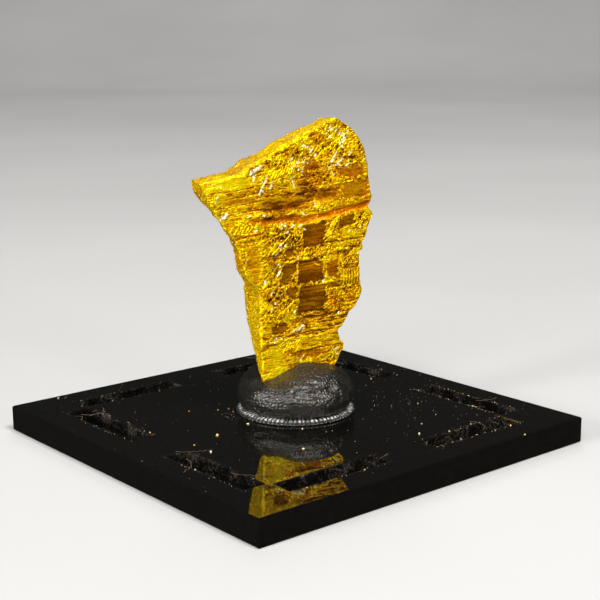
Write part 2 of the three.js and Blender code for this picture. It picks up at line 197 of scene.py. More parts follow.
# Broad zones of tone: an oval, its change of tone, and its change towards orange.
ZONES = [
    (-2.8, 25.7, 3.4, 0.8, -0.3, 0.2), (3.2, 26.7, 2.4, 0.9, -0.06, 0.15), (1, 28.6, 2.6, 1, -0.2, 0.45),
    (0.8, 30, 2, 1, -0.16, 0.5), (-2.3, 31.7, 1.2, 0.5, -0.16, 0.35), (0.6, 27.2, 4.6, 0.8, -0.26, 0.1),
    (-3.2, 24.2, 3.2, 0.5, -0.32, 0.6), (-5.4, 23.65, 0.9, 0.4, 0, 0.8), (-10.8, 29, 4.2, 1.3, 0.47, -0.3),
    (-12.6, 27.2, 2.2, 1.8, 0.36, -0.3), (-9.4, 24.4, 2.4, 2.4, 0.16, 0), (-7.2, 26.4, 3.2, 0.8, 0.02, 0),
    (-3.4, 29.9, 3.2, 1.9, 0.16, 0), (1.2, 31.9, 2.6, 0.8, 0.16, 0), (-7.2, 20.9, 2.2, 1.6, 0.17, 0.15),
    (-2.6, 21.6, 2.2, 1.6, -0.34, 0), (7.4, 21.8, 1.4, 1.6, 0.06, 0.05), (4.2, 22.5, 1.3, 1.4, -0.06, 0),
    (3.2, 18.9, 1.1, 0.5, 0.2, 0), (-6.2, 18, 1.9, 2.2, 0.12, 0), (-3.9, 14.8, 2.2, 1.4, -0.2, 0),
    (6.8, 17.6, 1.5, 2.2, 0, 0.12), (5.5, 13.4, 2.6, 1.2, 0, 0.4), (3, 11.9, 4.2, 0.7, -0.24, 0.15),
    (1.5, 12, 2.6, 0.8, -0.2, 0), (-4.6, 6.6, 1.9, 2.4, 0.38, 0), (4.2, 6.8, 1, 1.2, 0.1, 0),
    (-6, 12, 1.3, 4.5, 0.14, 0.1), (2.6, 25.2, 2.2, 0.5, 0.12, 0.2), (8.9, 26.6, 1, 1.3, 0.1, 0.9),
    (6.8, 29.2, 2.4, 1.1, -0.07, 0.45), (1.2, 22, 1.7, 1.7, -0.03, 0.45), (0.8, 17.5, 1.9, 1.5, -0.03, 0.6),
    (3.9, 13.4, 0.9, 0.9, -0.05, 0.75), (4, 18.6, 1.3, 1.2, -0.05, 0.5), (4.6, 33.8, 1.8, 1.2, 0.12, 0),
    (1.4, 33.5, 1.4, 0.9, -0.2, 0.35), (-2.2, 10.4, 0.6, 0.6, 0.15, 0.6), (-5.1, 19.6, 1.2, 0.6, -0.3, 0.1),
    (8.2, 23.2, 0.9, 0.7, -0.15, 0), (7.6, 13.1, 0.8, 0.5, -0.1, 0.3), (-2, 6.7, 0.9, 0.8, -0.2, 0),
    (3.9, 17.4, 0.8, 1, -0.08, 0.5), (1, 7.2, 1.8, 0.7, -0.1, 0.4), (6.4, 27.2, 2.2, 1, 0.08, 0.1),
    (5.6, 32.8, 2.4, 2, 0.07, 0), (6.4, 22, 1, 0.5, 0.15, 0), (2, 20.6, 1.8, 0.3, -0.1, 0.1),
    (-3, 8.8, 2.6, 0.9, 0.2, 0), (2.2, 8.8, 2.8, 0.6, 0.15, 0.1), (1, 14.2, 2.2, 1.8, 0, 0.2),
    (-10.6, 29.9, 1, 0.4, 0.1, 0), (3.4, 21, 2.4, 0.5, -0.1, 0), (-6, 24.95, 1.5, 0.45, -0.12, 0.15),
]
# Raised edges of broken sheets, with a painted highlight along their crests: points of (u, w), half width,
# height.
RIDGES = [
    ([(-5.9, 9.2), (-3.7, 9.4), (-0.8, 9.35), (2.1, 9.4), (4.8, 9.65)], 0.3, 0.3),
    ([(-4.4, 8.8), (-1.6, 8.9), (1.8, 8.9), (4.9, 9.1)], 0.16, 0.16),
    ([(-1.3, 7.9), (1.4, 7.95), (3.4, 8), (5.6, 8.15)], 0.22, 0.24),
    ([(-3.7, 17.5), (-3.4, 18.3), (-2.8, 18.85), (-0.8, 19), (0.2, 19.15), (1, 19.05)], 0.2, 0.32),
    ([(1, 19.05), (1.9, 19.5), (3.3, 19.7), (6.4, 19.85)], 0.2, 0.28),
    ([(0.85, 18.75), (1.4, 18.4), (1.95, 18.05)], 0.14, 0.22), ([(2, 18.9), (3.4, 18.45)], 0.26, 0.2),
    ([(3.1, 15.95), (5.2, 15.95), (7.9, 16.1)], 0.13, 0.18),
    ([(3.1, 14.95), (5.2, 15), (8.2, 15.1)], 0.15, 0.2),
    ([(3, 14.1), (5.4, 14.15), (8.3, 14.4)], 0.13, 0.18), ([(4.6, 13), (6.4, 13.3), (8, 13.7)], 0.12, 0.16),
    ([(2.8, 10.6), (4.6, 10.7), (5.9, 11.1)], 0.14, 0.18),
    ([(0.6, 11.4), (3.4, 11.5), (6.6, 11.9)], 0.14, 0.18),
    ([(-0.42, 19.5), (-0.38, 21.3), (-0.38, 23.2)], 0.11, 0.18),
    ([(-1.1, 18.9), (-1.2, 17.3), (-1.25, 16.8), (-0.98, 16), (-0.95, 14.6)], 0.13, 0.22),
    ([(2.6, 18.3), (2.75, 17.4), (3.05, 16.4), (3, 15.8)], 0.15, 0.2),
    ([(4.75, 18.4), (5.05, 17.4), (5.15, 16.9)], 0.13, 0.18),
    ([(-1.9, 10.3), (-1.3, 10.6), (-0.7, 10.6), (-0.1, 10.7)], 0.4, 0.32),
    ([(-7.3, 28.9), (-7, 29.8), (-6.9, 30.3), (-6.2, 30.6)], 0.3, 0.28),
    ([(-6.4, 27.5), (-6, 28.3), (-5.5, 29.1)], 0.16, 0.3),
    ([(-5.1, 27.7), (-4.95, 28.5), (-4.6, 28.9)], 0.13, 0.2),
    ([(4.6, 28.35), (7.2, 28), (8.3, 27.3), (9.2, 26.7)], 0.1, 0.15),
    ([(5.1, 27.1), (5.7, 25.6)], 0.12, 0.16), ([(-11.6, 24.9), (-11, 25.1), (-10.7, 25.5)], 0.22, 0.2),
    ([(-1, 15.85), (1, 15.8), (3, 15.9)], 0.1, 0.13),
    ([(-0.5, 12.3), (1.2, 12.35), (3.4, 12.5)], 0.13, 0.16),
    ([(-1.8, 30.4), (-1.6, 29.2), (-1.4, 28)], 0.11, 0.2),
    ([(-0.6, 30.2), (-0.5, 29.6), (-0.9, 28.9)], 0.1, 0.18), ([(1.4, 34.3), (1.4, 33)], 0.1, 0.15),
    ([(-6, 19), (-5.2, 18.2), (-4.6, 17.6)], 0.12, 0.16), ([(-5.9, 15.4), (-5.3, 16.4)], 0.12, 0.16),
    ([(-4.1, 17), (-3.7, 18), (-3.5, 18.9)], 0.14, 0.2), ([(-2.4, 16), (-1.55, 17.1)], 0.09, 0.15),
    ([(-3.3, 16.3), (-2.6, 15.4), (-2.3, 14.4), (-1, 14.2)], 0.13, 0.2),
    ([(-9.2, 23.2), (-7.9, 24), (-7.2, 23.5)], 0.12, 0.16),
    ([(-1.6, 25), (-1.1, 24.75), (-0.4, 24.7)], 0.14, 0.18), ([(1.9, 25.9), (2.9, 25)], 0.12, 0.2),
    ([(2.5, 25.8), (3.4, 24.9)], 0.1, 0.16), ([(-0.2, 24.35), (4, 24.75), (9.6, 25.55)], 0.16, 0.16),
    ([(-0.8, 23.3), (3, 23.6), (5.2, 23.75), (9.4, 24.55)], 0.13, 0.14),
    ([(7.3, 22), (7.5, 23.2), (7.9, 24.2)], 0.12, 0.16), ([(-1.6, 17.4), (-2.4, 15.8)], 0.09, 0.26),
    ([(-2.8, 18.8), (-4, 17.4)], 0.1, 0.24), ([(-3.3, 20.65), (-0.5, 20.9)], 0.1, 0.22),
    ([(-1.7, 20.6), (-1.1, 19.5)], 0.1, 0.22), ([(-3.2, 19.9), (-3.75, 19.1)], 0.1, 0.2),
    ([(-2.6, 17.4), (-1.2, 17.3)], 0.08, 0.18), ([(8, 22.2), (9.2, 22.7)], 0.12, 0.18),
    ([(-2, 6.3), (-0.6, 6.8), (-0.1, 7.2)], 0.13, 0.18),
    ([(0.2, 6.4), (1.4, 6.25), (2.3, 6.8)], 0.13, 0.18),
]
# Parallel slanted steps like a ladder: first middle u, w, step in u, w, how many, half length in u, w.
LADDERS = [
    (3.15, 21.65, 0.2, 0.33, 7, 0.6, 0.36), (-2.9, 8.3, 0.45, 0.12, 5, 0.3, 0.4),
    (-4.6, 29.4, 0.42, 0.16, 8, 0.24, 0.5), (-4, 12.5, 0.4, 0.25, 6, 0.26, 0.34),
    (-9.6, 23.3, 0.5, 0.02, 6, 0.22, 0.3), (-4.4, 20.3, 0.35, 0.3, 7, 0.22, 0.2),
    (5.6, 16.2, 0.42, 0, 6, 0.02, 0.9), (-5.9, 16.4, 0.22, 0.1, 3, 0.2, 0.28),
    (2.2, 31.6, 0.5, 0.3, 7, 0.25, 0.3),
]
# Grooves: points of (u, w), half width, depth, how rusty their floor is.
GROOVES = [
    ([(-1, 23.75), (1, 23.95), (3.8, 24.35), (6.8, 24.8), (10.5, 25.2)], 0.56, 0.28, 1),
    ([(-9.8, 22.35), (-8.2, 22.5), (-6, 22.7)], 0.17, 0.2, 0.6),
    ([(-13.1, 27.9), (-10, 28.05), (-7.1, 28.35)], 0.08, 0.2, 0.1),
    ([(-11, 27.15), (-8.6, 27.3), (-6.4, 27.6)], 0.08, 0.16, 0),
    ([(-7.4, 24.25), (-4, 24.1), (-0.6, 24.2)], 0.3, 0.1, 0.8),
    ([(-5.4, 25.35), (-3, 25.6), (-1, 25.75), (1.2, 26.2), (4.4, 26.6)], 0.35, 0.08, 0.2),
    ([(-2.4, 9.8), (1, 9.95), (6.4, 10)], 0.14, 0.16, 0.3),
    ([(-1.4, 7.7), (1, 7.75), (5, 7.85)], 0.1, 0.14, 0.3),
    ([(0.3, 11.85), (2, 11.75), (3.7, 11.9)], 0.15, 0.2, 0.15),
    ([(3.5, 10.25), (5.7, 10.4)], 0.13, 0.2, 0.1), ([(1.6, 10.95), (3, 11), (4.5, 11.1)], 0.12, 0.2, 0.1),
    ([(4.6, 12.6), (6.8, 12.5)], 0.1, 0.16, 0.2),
    ([(-12.6, 26), (-9.4, 26.3), (-6.2, 26.6)], 0.08, 0.12, 0),
    ([(-11.4, 25.1), (-8, 25.5), (-5.6, 25.6)], 0.08, 0.14, 0.1), ([(6, 16), (6, 19)], 0.08, 0.14, 0),
    ([(2.9, 20.9), (5, 20.8), (8.4, 21)], 0.1, 0.2, 0.1), ([(-5.2, 9.8), (-5.9, 9.9)], 0.2, 0.25, 0.4),
    ([(4.9, 22.2), (5.1, 23.7)], 0.1, 0.2, 0),
]
# Grooves of the back: points of (u, w), half width, depth.
BACK_GROOVES = [
    ([(-2.5, 24.2), (4, 24.5), (11, 24.6)], 0.42, 0.7),
    ([(-9.6, 19.2), (-3, 18.6), (2.5, 18.9)], 0.36, 0.5),
    ([(-4.5, 11.6), (1.5, 10.2), (7, 9.6)], 0.36, 0.5),
]
# Zones of crumpled foil-like breakage: an oval and its strength.
CRUMPLED = [
    (5.2, 32.4, 2.9, 2.7, 0.65), (-3.2, 29.9, 3.6, 1.7, 0.75), (1, 31.9, 3.2, 1.1, 0.7),
    (-4, 13.8, 2.5, 2.4, 0.95), (-2.7, 21.5, 2.3, 1.9, 0.85), (-4.8, 17.6, 1.6, 1.9, 0.55),
    (-8.3, 23.7, 2.3, 0.9, 0.7), (4.3, 6.8, 1.2, 1.3, 0.8), (2.6, 25.2, 2.6, 0.5, 0.7),
    (-2.5, 8.6, 1.8, 0.8, 0.5), (8.3, 22.8, 1.4, 1.5, 0.6), (6.7, 17.5, 1.5, 1.8, 0.5),
    (-12.2, 26.6, 1.3, 1.3, 0.6), (2.8, 17.2, 0.4, 1.4, 0.8), (3, 13.2, 0.7, 0.8, 0.5),
    (-1.2, 12.6, 1.2, 1.2, 0.7), (0.6, 10.4, 1.8, 0.6, 0.4),
]
# Ovals where the sheets lie flat and quiet.
QUIET = [
    (-3, 25.9, 4.6, 1.1), (3.4, 26.7, 3.6, 0.9), (7.2, 27.2, 2.4, 1.4), (-9.4, 26.9, 3.4, 0.7),
    (-9.8, 29, 3, 0.7), (6.6, 29.2, 2.2, 0.9), (1.2, 7.2, 2.2, 0.7), (-7.2, 19, 1.2, 2.6),
]
# The glossy lens that stands out left of the great groove: an oval and its height.
LENS, LENS_HEIGHT = (-6.0, 24.95, 1.9, 0.42), 0.26
# Glints painted white into the base colour: a stroke from (u, w) to (u, w), and its half width.
GLINTS = [
    (-7.6, 29.9, -7, 30.3, 0.2), (-7, 30.3, -6.2, 30.6, 0.2), (-7.3, 29.9, -7.2, 28.8, 0.07),
    (-6.4, 27.5, -6, 28.2, 0.14), (-6, 28.2, -5.45, 29.2, 0.15), (-4.95, 27.9, -4.65, 28.7, 0.09),
    (-11.6, 24.95, -11.1, 25.1, 0.14), (-11.1, 25.1, -10.75, 25.5, 0.16), (-1.8, 10.3, -1.1, 10.7, 0.14),
    (-1.2, 10.3, -0.4, 10.9, 0.12), (-0.5, 10.2, -0.25, 10.8, 0.12), (3.8, 30.6, 4.5, 31.6, 0.11),
    (3.4, 29.8, 4.4, 30.15, 0.11), (4.7, 30.4, 5.2, 29.9, 0.06), (5.9, 30, 6.3, 30.3, 0.07),
    (6.3, 31.2, 6.5, 31.6, 0.06), (4.9, 30.7, 5.2, 30.9, 0.13), (-1.1, 30.8, -0.8, 31, 0.1),
    (-2, 31.1, -1.8, 31.3, 0.1), (-1.9, 30.2, -1.7, 30.5, 0.08), (-0.3, 30.6, -0.1, 30.8, 0.08),
    (0.4, 30.65, 0.6, 30.75, 0.08), (1.4, 31.35, 1.6, 31.6, 0.08), (1, 32.2, 1.3, 32.35, 0.07),
    (3.6, 34.7, 3.8, 34.9, 0.08), (3.05, 33.95, 3.25, 34, 0.07), (3.6, 33.45, 3.75, 33.7, 0.07),
    (4.5, 34.2, 4.7, 34.4, 0.08), (6.15, 34.2, 6.4, 34.25, 0.07), (4, 29, 4.25, 29.15, 0.08),
    (-0.05, 32.75, 0.4, 32.5, 0.12), (5.4, 33.95, 5.7, 33.4, 0.24), (5.1, 32.95, 5.25, 32.5, 0.13),
    (-1.95, 29.25, -1.75, 28.5, 0.05), (-1.75, 28.5, -1.45, 27.8, 0.05), (-0.35, 30.05, -0.45, 29.4, 0.05),
    (-6.05, 24.85, -5.8, 24.95, 0.1), (-7, 23.05, -6.8, 23.2, 0.1), (-7.9, 24.85, -7.7, 25, 0.07),
    (-3.25, 23.55, -3, 23.65, 0.09), (-2.85, 23.3, -2.7, 23.4, 0.08), (-1.9, 23.2, -1.65, 23.3, 0.09),
    (-3.3, 23.05, -3.2, 23.2, 0.07), (-0.15, 22.8, 0.1, 22.65, 0.09), (-0.7, 23.15, -0.5, 23.3, 0.09),
    (-2.6, 22.35, -2.4, 22.6, 0.08), (-3.7, 21.2, -3.45, 21.25, 0.08), (-3.55, 20.6, -3.35, 20.8, 0.09),
    (-4.1, 20, -3.9, 20.15, 0.07), (-1.15, 19.2, -1, 19.35, 0.08), (-4.85, 18.3, -4.6, 18.45, 0.07),
    (-1.25, 17.4, -1.1, 17.6, 0.07), (-5.95, 16.7, -5.75, 16.95, 0.09), (2.4, 16.05, 2.65, 16.2, 0.08),
    (-8.35, 19.7, -8.1, 19.85, 0.08), (-0.45, 24.7, -0.2, 24.55, 0.07), (-4, 17.4, -3.7, 17.9, 0.06),
    (-4.5, 9.3, -4.2, 9.8, 0.08), (-4.9, 15.3, -4.6, 15.6, 0.08), (4.3, 7.2, 4.8, 7.45, 0.06),
    (-0.7, 6.6, -0.2, 7, 0.07), (1.3, 25.9, 1.5, 25.4, 0.07), (-5, 13.4, -4.8, 13.6, 0.07),
    (-3.6, 14.9, -3.4, 15.1, 0.07),
]
# Ovals where small slivers are more often painted white as glints.
GLEAMS = [
    (-7, 30.1, 0.7, 0.5), (-5.9, 28.3, 0.3, 0.9), (-4.8, 28.4, 0.2, 0.6), (4.3, 30.9, 1.2, 0.8),
    (5.5, 33.3, 0.8, 1.4), (0.1, 32.6, 0.5, 0.2), (-11.1, 25.2, 0.5, 0.3), (-1, 10.5, 0.9, 0.4),
    (-12.3, 27.2, 1, 0.6), (-5.9, 24.9, 0.3, 0.15), (-3.7, 18.2, 0.4, 0.8), (-5.8, 16.8, 0.4, 0.3),
    (-3.2, 20.6, 0.8, 0.5), (-0.5, 31.4, 1.2, 0.4), (-3.2, 9.6, 1.4, 0.2), (-7, 23.2, 0.7, 0.3),
    (-0.7, 24.8, 0.5, 0.15), (2.8, 17, 0.3, 0.8), (4.9, 17.7, 0.25, 0.7), (-2.3, 23.2, 1, 0.2),
    (3.6, 34.6, 0.8, 0.4), (4.6, 7.3, 0.6, 0.5), (8.4, 22.3, 0.7, 0.3), (-11.3, 29, 1.6, 0.6),
    (-2.6, 23.3, 1.2, 0.35),
]


def patch(u, w, at_u, at_w, half_u, half_w):
    """1 in the middle of an oval, fading to 0 at its edge."""
    distance = np.sqrt(((u - at_u) / half_u) ** 2 + ((w - at_w) / half_w) ** 2)
    return 1 - ramp(distance, 0.45, 1.15)


def panel(u, w, low_u, high_u, low_w, high_w, lean, seed):
    """1 inside a four-sided panel with slightly ragged edges."""
    soft = 0.14
    ragged = 0.24 * waves(u * 1.5, w * 1.5, seed) + 0.26 * waves(u * 4, w * 4, seed + 1)
    along_u = u - lean * (w - low_w) + ragged
    along_w = w - 0.05 * (u - low_u) + ragged
    inside = ramp(along_u, low_u - soft, low_u + soft) * (1 - ramp(along_u, high_u - soft, high_u + soft))
    inside = inside * ramp(along_w, low_w - soft, low_w + soft)
    return inside * (1 - ramp(along_w, high_w - soft, high_w + soft))


def line_distance(u, w, points):
    """Distance to a run of straight pieces."""
    best = np.full(np.shape(u), 99.0)
    for (u0, w0), (u1, w1) in zip(points, points[1:]):
        du, dw = u1 - u0, w1 - w0
        t = np.clip(((u - u0) * du + (w - w0) * dw) / (du * du + dw * dw), 0, 1)
        best = np.minimum(best, np.hypot(u - u0 - t * du, w - w0 - t * dw))
    return best


def striae(u, w, seed):
    """Fine growth lines along the blade, from about -1 to 1, a little wavy and rising to the right."""
    rise = 0.02 + 0.07 * ramp(w, 14, 25)
    drift = w + 0.1 * waves(u / 3.0, w / 2.0, seed) - rise * u
    total = 0
    for spacing, length, gain in ((0.8, 7.0, 0.45), (0.42, 4.5, 0.6), (0.24, 2.6, 0.5)):
        line = waves(u / length, drift / spacing, seed + 3 + int(100 * spacing))
        total = total + gain * (1 - 2.2 * np.abs(line))
    return total


def soften(field, reach_s, reach_t):
    """A running mean over a grid, done twice each way."""
    for axis, reach in ((0, reach_s), (1, reach_t), (0, reach_s), (1, reach_t)):
        padded = np.pad(field, [(reach + 1, reach) if a == axis else (0, 0) for a in (0, 1)], mode="edge")
        total = np.cumsum(padded, axis=axis)
        high = np.take(total, range(2 * reach + 1, total.shape[axis]), axis=axis)
        low = np.take(total, range(0, total.shape[axis] - 2 * reach - 1), axis=axis)
        field = (high - low) / (2 * reach + 1)
    return field


def front_ground(u, w):
    """Where the front is crumpled, clear, smooth or striped, before anything stands out on it."""
    # Calm and fibrous low down and below the horn, and crumpled elsewhere.
    wander = 1.2 * waves(u / 3, w / 3, 9)
    below_horn = ramp(w + wander, 23.3, 25.0) * (1 - ramp(w + 0.3 * u, 27.5, 30.5))
    fibrous = np.maximum(below_horn, 1 - ramp(w + wander, 11.8, 12.8))
    crumple = 0.1 + 0.36 * (1 - fibrous)
    for *oval, strength in CRUMPLED:
        crumple = np.maximum(crumple, strength * patch(u, w, *oval))
    crumple *= 0.8 + 0.3 * waves(u * 1.3, w * 1.3, 8)
    out = 0.16 * waves(u / 3.4, w / 4.2, 3) + 0.05 * waves(u / 1.3, w / 0.9, 4)
    # bright gathers the painted highlights and painted shade of ridges, rungs and grooves, and the rusty
    # grooves' brighter orange.
    clear, smooth, stripes, rust, bright = (np.zeros(np.shape(u)) for _ in range(5))
    for k, (*sides, depth, dark, striped, lean) in enumerate(WINDOWS):
        inside = panel(u, w, *sides, lean, 40 + 2 * k)
        out -= inside * depth
        clear = np.maximum(clear, inside * dark)
        smooth = np.maximum(smooth, inside * (1.0 if dark > 0.8 else 0.8))
        stripes = np.maximum(stripes, inside * striped)
    for oval in QUIET:
        smooth = np.maximum(smooth, 0.7 * patch(u, w, *oval))
    crumple *= 1 - smooth
    return SimpleNamespace(
        out=out, crumple=crumple, clear=clear, smooth=smooth, stripes=stripes, rust=rust, bright=bright
    )


def add_sheets(front, u, w):
    """Broken sheets, torn foil and growth lines."""
    warp_u = u + 0.35 * waves(u * 0.9, w * 0.9, 5) + 0.12 * waves(u * 3, w * 3, 6)
    warp_w = w + 0.2 * waves(u * 0.9, w * 0.9, 7) - 0.05 * u
    sheet, front.sheet_own, sheet_edge = facets((warp_u + 0.3 * warp_w) / 1.5, warp_w / 1.05, 11)
    foil_u, foil_w = (warp_u - 0.6 * warp_w) / 0.4, (warp_w + 0.2 * warp_u) / 0.62
    foil, front.foil_own, foil_edge = facets(foil_u, foil_w, 21)
    front.lines = striae(u, w, 31)
    front.calm = (1 - front.crumple) * (1 - front.smooth)
    seams = (1 - ramp(sheet_edge, 0.02, 0.13)) * ramp(waves(u * 0.8, w * 0.8, 12), -0.3, 0.3)
    front.out += (0.04 * sheet + 0.03 * seams) * (1 - front.smooth)
    front.out += front.crumple * (0.09 * foil + 0.04 * (1 - ramp(foil_edge, 0.0, 0.24)))
    front.out += 0.022 * front.lines * (front.calm + 0.35 * front.crumple + 0.5 * front.stripes)


def add_ridges(front, u, w):
    """Raised edges with a painted highlight on their crests, ragged and broken here and there."""
    wander = 0.11 * waves(u * 1.7, w * 1.7, 71) + 0.05 * waves(u * 4.4, w * 4.4, 72)
    broken = np.clip(0.6 + 0.8 * waves(u * 2.4, w * 2.4, 74), 0, 1)
    for points, half, height in RIDGES:
        crest = 1 - ramp(line_distance(u + wander, w + wander, points), 0.1 * half, 1.1 * half)
        crest *= broken
        front.out += 0.45 * height * crest
        front.bright = np.maximum(front.bright, 1.2 * height * crest)
        front.clear *= 1 - 0.8 * crest
        front.smooth = np.maximum(front.smooth * (1 - crest), 0.8 * crest)


def add_ladders(front, u, w):
    """Rungs with a painted highlight and a painted shadow beside each."""
    wavy = w + 0.06 * waves(u * 2, w * 2, 75)
    for at_u, at_w, step_u, step_w, count, half_u, half_w in LADDERS:
        for k in range(count):
            mid_u, mid_w = at_u + k * step_u, at_w + k * step_w
            rung = [(mid_u - half_u, mid_w - half_w), (mid_u + half_u, mid_w + half_w)]
            distance = line_distance(u, wavy, rung)
            crest = 1 - ramp(distance, 0.02, 0.13)
            beside = ramp(distance, 0.08, 0.16) * (1 - ramp(distance, 0.18, 0.3))
            front.out += 0.1 * crest
            front.smooth = np.maximum(front.smooth, 0.7 * (1 - ramp(distance, 0.2, 0.3)))
            front.bright = np.maximum(front.bright, 0.52 * crest) - 0.3 * beside
            front.clear *= 1 - 0.7 * crest


def add_grooves(front, u, w):
    """Grooves with smooth floors, painted darker as shade the deeper they are, and some of them rusty, which
    paints their floors orange and brighter.
    """
    wavy = w + 0.07 * waves(u * 1.4, w * 1.4, 73)
    for points, half, depth, rusty in GROOVES:
        distance = line_distance(u, wavy, points)
        floor = 1 - ramp(distance, 0.7 * half, 1.05 * half)
        front.out -= 0.7 * depth * (1 - ramp(distance, 0.25 * half, half))
        front.rust = np.maximum(front.rust, rusty * floor)
        front.bright += (0.36 * rusty - 0.6 * depth) * floor
        front.smooth = np.maximum(front.smooth, 0.8 * rusty * floor)
        front.crumple *= 1 - 0.8 * rusty * floor


def shining(u, w):
    """Where glints are painted white on single faces, and where small slivers more often get painted glints.
    """
    gleam, sparkle = np.zeros(np.shape(u)), np.zeros(np.shape(u))
    for oval in GLEAMS:
        sparkle = np.maximum(sparkle, patch(u, w, *oval))
    _, ragged, _ = facets((u - 0.3 * w) / 0.24, w / 0.32, 77)
    for from_u, from_w, to_u, to_w, half in GLINTS:
        distance = line_distance(u, w, [(from_u, from_w), (to_u, to_w)])
        painted_glint = 1 - ramp(distance, (0.2 + 1.2 * ragged) * half, (0.4 + 1.3 * ragged) * half + 0.04)
        gleam = np.maximum(gleam, painted_glint)
    return gleam, sparkle


def front_looks(u, w):
    """Relief in mm and marks from 0 to 1 over the blade's front, given as grids."""
    front = front_ground(u, w)
    add_sheets(front, u, w)
    add_ridges(front, u, w)
    add_ladders(front, u, w)
    add_grooves(front, u, w)
    hump = 0.3 * waves(u * 1.4, w * 1.1, 78) + 0.12 * waves(u * 4, w * 4, 79)
    lens = patch(u, w + hump, *LENS)
    front.out += LENS_HEIGHT * lens

    # Painted highlight on the crests and painted shade in the hollows, at two scales, and the zones set the
    # rest.
    fine = front.out - soften(front.out, 1, 2)
    broad = front.out - soften(front.out, 4, 6)
    tone = 0.5 + 5.0 * np.clip(fine, -0.04, 0.08) + 0.9 * np.clip(broad, -0.12, 0.15) + front.bright
    foil_tone = 0.28 * (front.foil_own - 0.5) * front.crumple
    tone += 0.18 * (front.sheet_own - 0.5) * (1 - front.smooth) + foil_tone
    tone += (0.14 * front.calm + 0.2 * front.stripes) * front.lines + 0.03 * lens - 0.14 * front.crumple
    rust = front.rust + 0.5 * front.stripes * ramp(front.lines, 0.1, 0.8)
    uneven = 0.8 + 0.3 * waves(u * 2, w * 4, 76)
    for *oval, change, orange in ZONES:
        inside = patch(u, w, *oval)
        tone += change * inside
        rust += orange * inside * uneven
    gleam, sparkle = shining(u, w)
    return {
        "out": front.out, "tone": tone, "clear": front.clear, "rust": np.clip(rust, 0, 1), "gleam": gleam,
        "sparkle": sparkle, "crumple": front.crumple, "smooth": front.smooth,
    }


def back_looks(u, w):
    """The hidden back: the same breakage without the front's named features."""
    zone = ramp(waves(u / 3.6, w / 3.1, 91), -0.2, 0.5)
    warp = w + 0.25 * waves(u * 0.7, w * 0.7, 90)
    sheet, sheet_own, sheet_edge = facets(u / 1.7, warp / 0.9, 92)
    foil, foil_own, foil_edge = facets((u + 0.4 * w) / 0.7, warp / 0.66, 93)
    lines = striae(u, w, 94)
    clear = 0.75 * ramp(waves(u / 1.5, w / 2.1, 96), 0.25, 0.5) * (1 - zone)
    out = 0.18 * waves(u / 3.4, w / 4.2, 95) + 0.14 * sheet + 0.06 * lines * (1 - zone) - 0.16 * clear
    out += zone * (0.24 * foil + 0.1 * (1 - ramp(foil_edge, 0, 0.2))) + 0.06 * (1 - ramp(sheet_edge, 0, 0.14))
    rust = 0.12 + 0.3 * ramp(waves(u / 2.2, w / 1.1, 98), 0.2, 0.7)
    wavy = w + 0.3 * waves(u / 1.4, w / 1.4, 97) + 0.12 * waves(u * 2, w * 2, 99)
    uneven = 0.7 + 0.3 * waves(u * 0.9, w, 100)
    for points, half, depth in BACK_GROOVES:
        floor = (1 - ramp(line_distance(u, wavy, points), 0.2 * half, 1.2 * half)) * uneven
        out -= depth * floor
        rust = np.maximum(rust, 0.8 * floor)
    # Painted highlight on the crests and painted shade in the hollows, at two scales.
    fine = out - soften(out, 1, 2)
    broad = out - soften(out, 4, 6)
    tone = 0.66 + 3.0 * np.clip(fine, -0.04, 0.1) + 1.0 * np.clip(broad, -0.15, 0.2)
    tone += 0.25 * (sheet_own - 0.5) + 0.3 * (foil_own - 0.5) * zone + 0.12 * lines * (1 - zone)
    return {
        "out": out, "tone": tone, "clear": clear, "rust": rust, "gleam": np.zeros(np.shape(u)),
        "sparkle": 0.2 * ramp(foil_own, 0.85, 0.95) * zone, "crumple": 0.2 + 0.4 * zone,
        "smooth": np.full(np.shape(u), 0.45),
    }


# ---- the blade's mesh ----

ACROSS, HIGH, DEEP = 176, 352, 16  # steps along u and w on the front, and through the thickness
RIM = 0.2  # how far the rims are rounded, mm
ROW_RISE = 31  # about the lattice's height, mm
HACKLED = 0.5  # how far from a side or the top its roughness reaches, mm
NEARLY_TOP = 0.999  # the lattice's t is above this in its top row alone
TOP_STAIN = (-8.6, 1.0, 1.9, 1.6)  # the brown patch on the top, an oval in (u, v)


def blade_faces():
    """Grid places (i, k, layer) of the blade's points and the faces that join them.

    The front is a fine grid, the sides are loops of the same fineness, and the back is a grid with
    twice the step whose outermost faces take in every point of the last loop.
    """
    loop = [(i, 0) for i in range(ACROSS)] + [(ACROSS, k) for k in range(HIGH)]
    loop += [(i, HIGH) for i in range(ACROSS, 0, -1)] + [(0, k) for k in range(HIGH, 0, -1)]
    around = len(loop)
    places = [(i, k, 0) for i in range(ACROSS + 1) for k in range(HIGH + 1)]
    front = {(i, k): number for number, (i, k, _) in enumerate(places)}
    faces = [
        (front[i, k], front[i + 1, k], front[i + 1, k + 1], front[i, k + 1])
        for i in range(ACROSS) for k in range(HIGH)
    ]
    rows = [[front[place] for place in loop]]
    for layer in range(1, DEEP + 1):
        start = len(places)
        places += [(i, k, layer) for i, k in loop]
        rows.append(list(range(start, start + around)))
    for near, far in zip(rows, rows[1:]):
        faces += [(near[(n + 1) % around], near[n], far[n], far[(n + 1) % around]) for n in range(around)]
    back = dict(zip(loop, rows[-1]))
    for i in range(2, ACROSS, 2):
        for k in range(2, HIGH, 2):
            back[i, k] = len(places)
            places.append((i, k, DEEP))
    ring = [(0, 0), (0, 1), (0, 2), (1, 2), (2, 2), (2, 1), (2, 0), (1, 0)]
    for i in range(0, ACROSS, 2):
        for k in range(0, HIGH, 2):
            faces.append(tuple(back[i + a, k + b] for a, b in ring if (i + a, k + b) in back))
    return np.array(places), faces


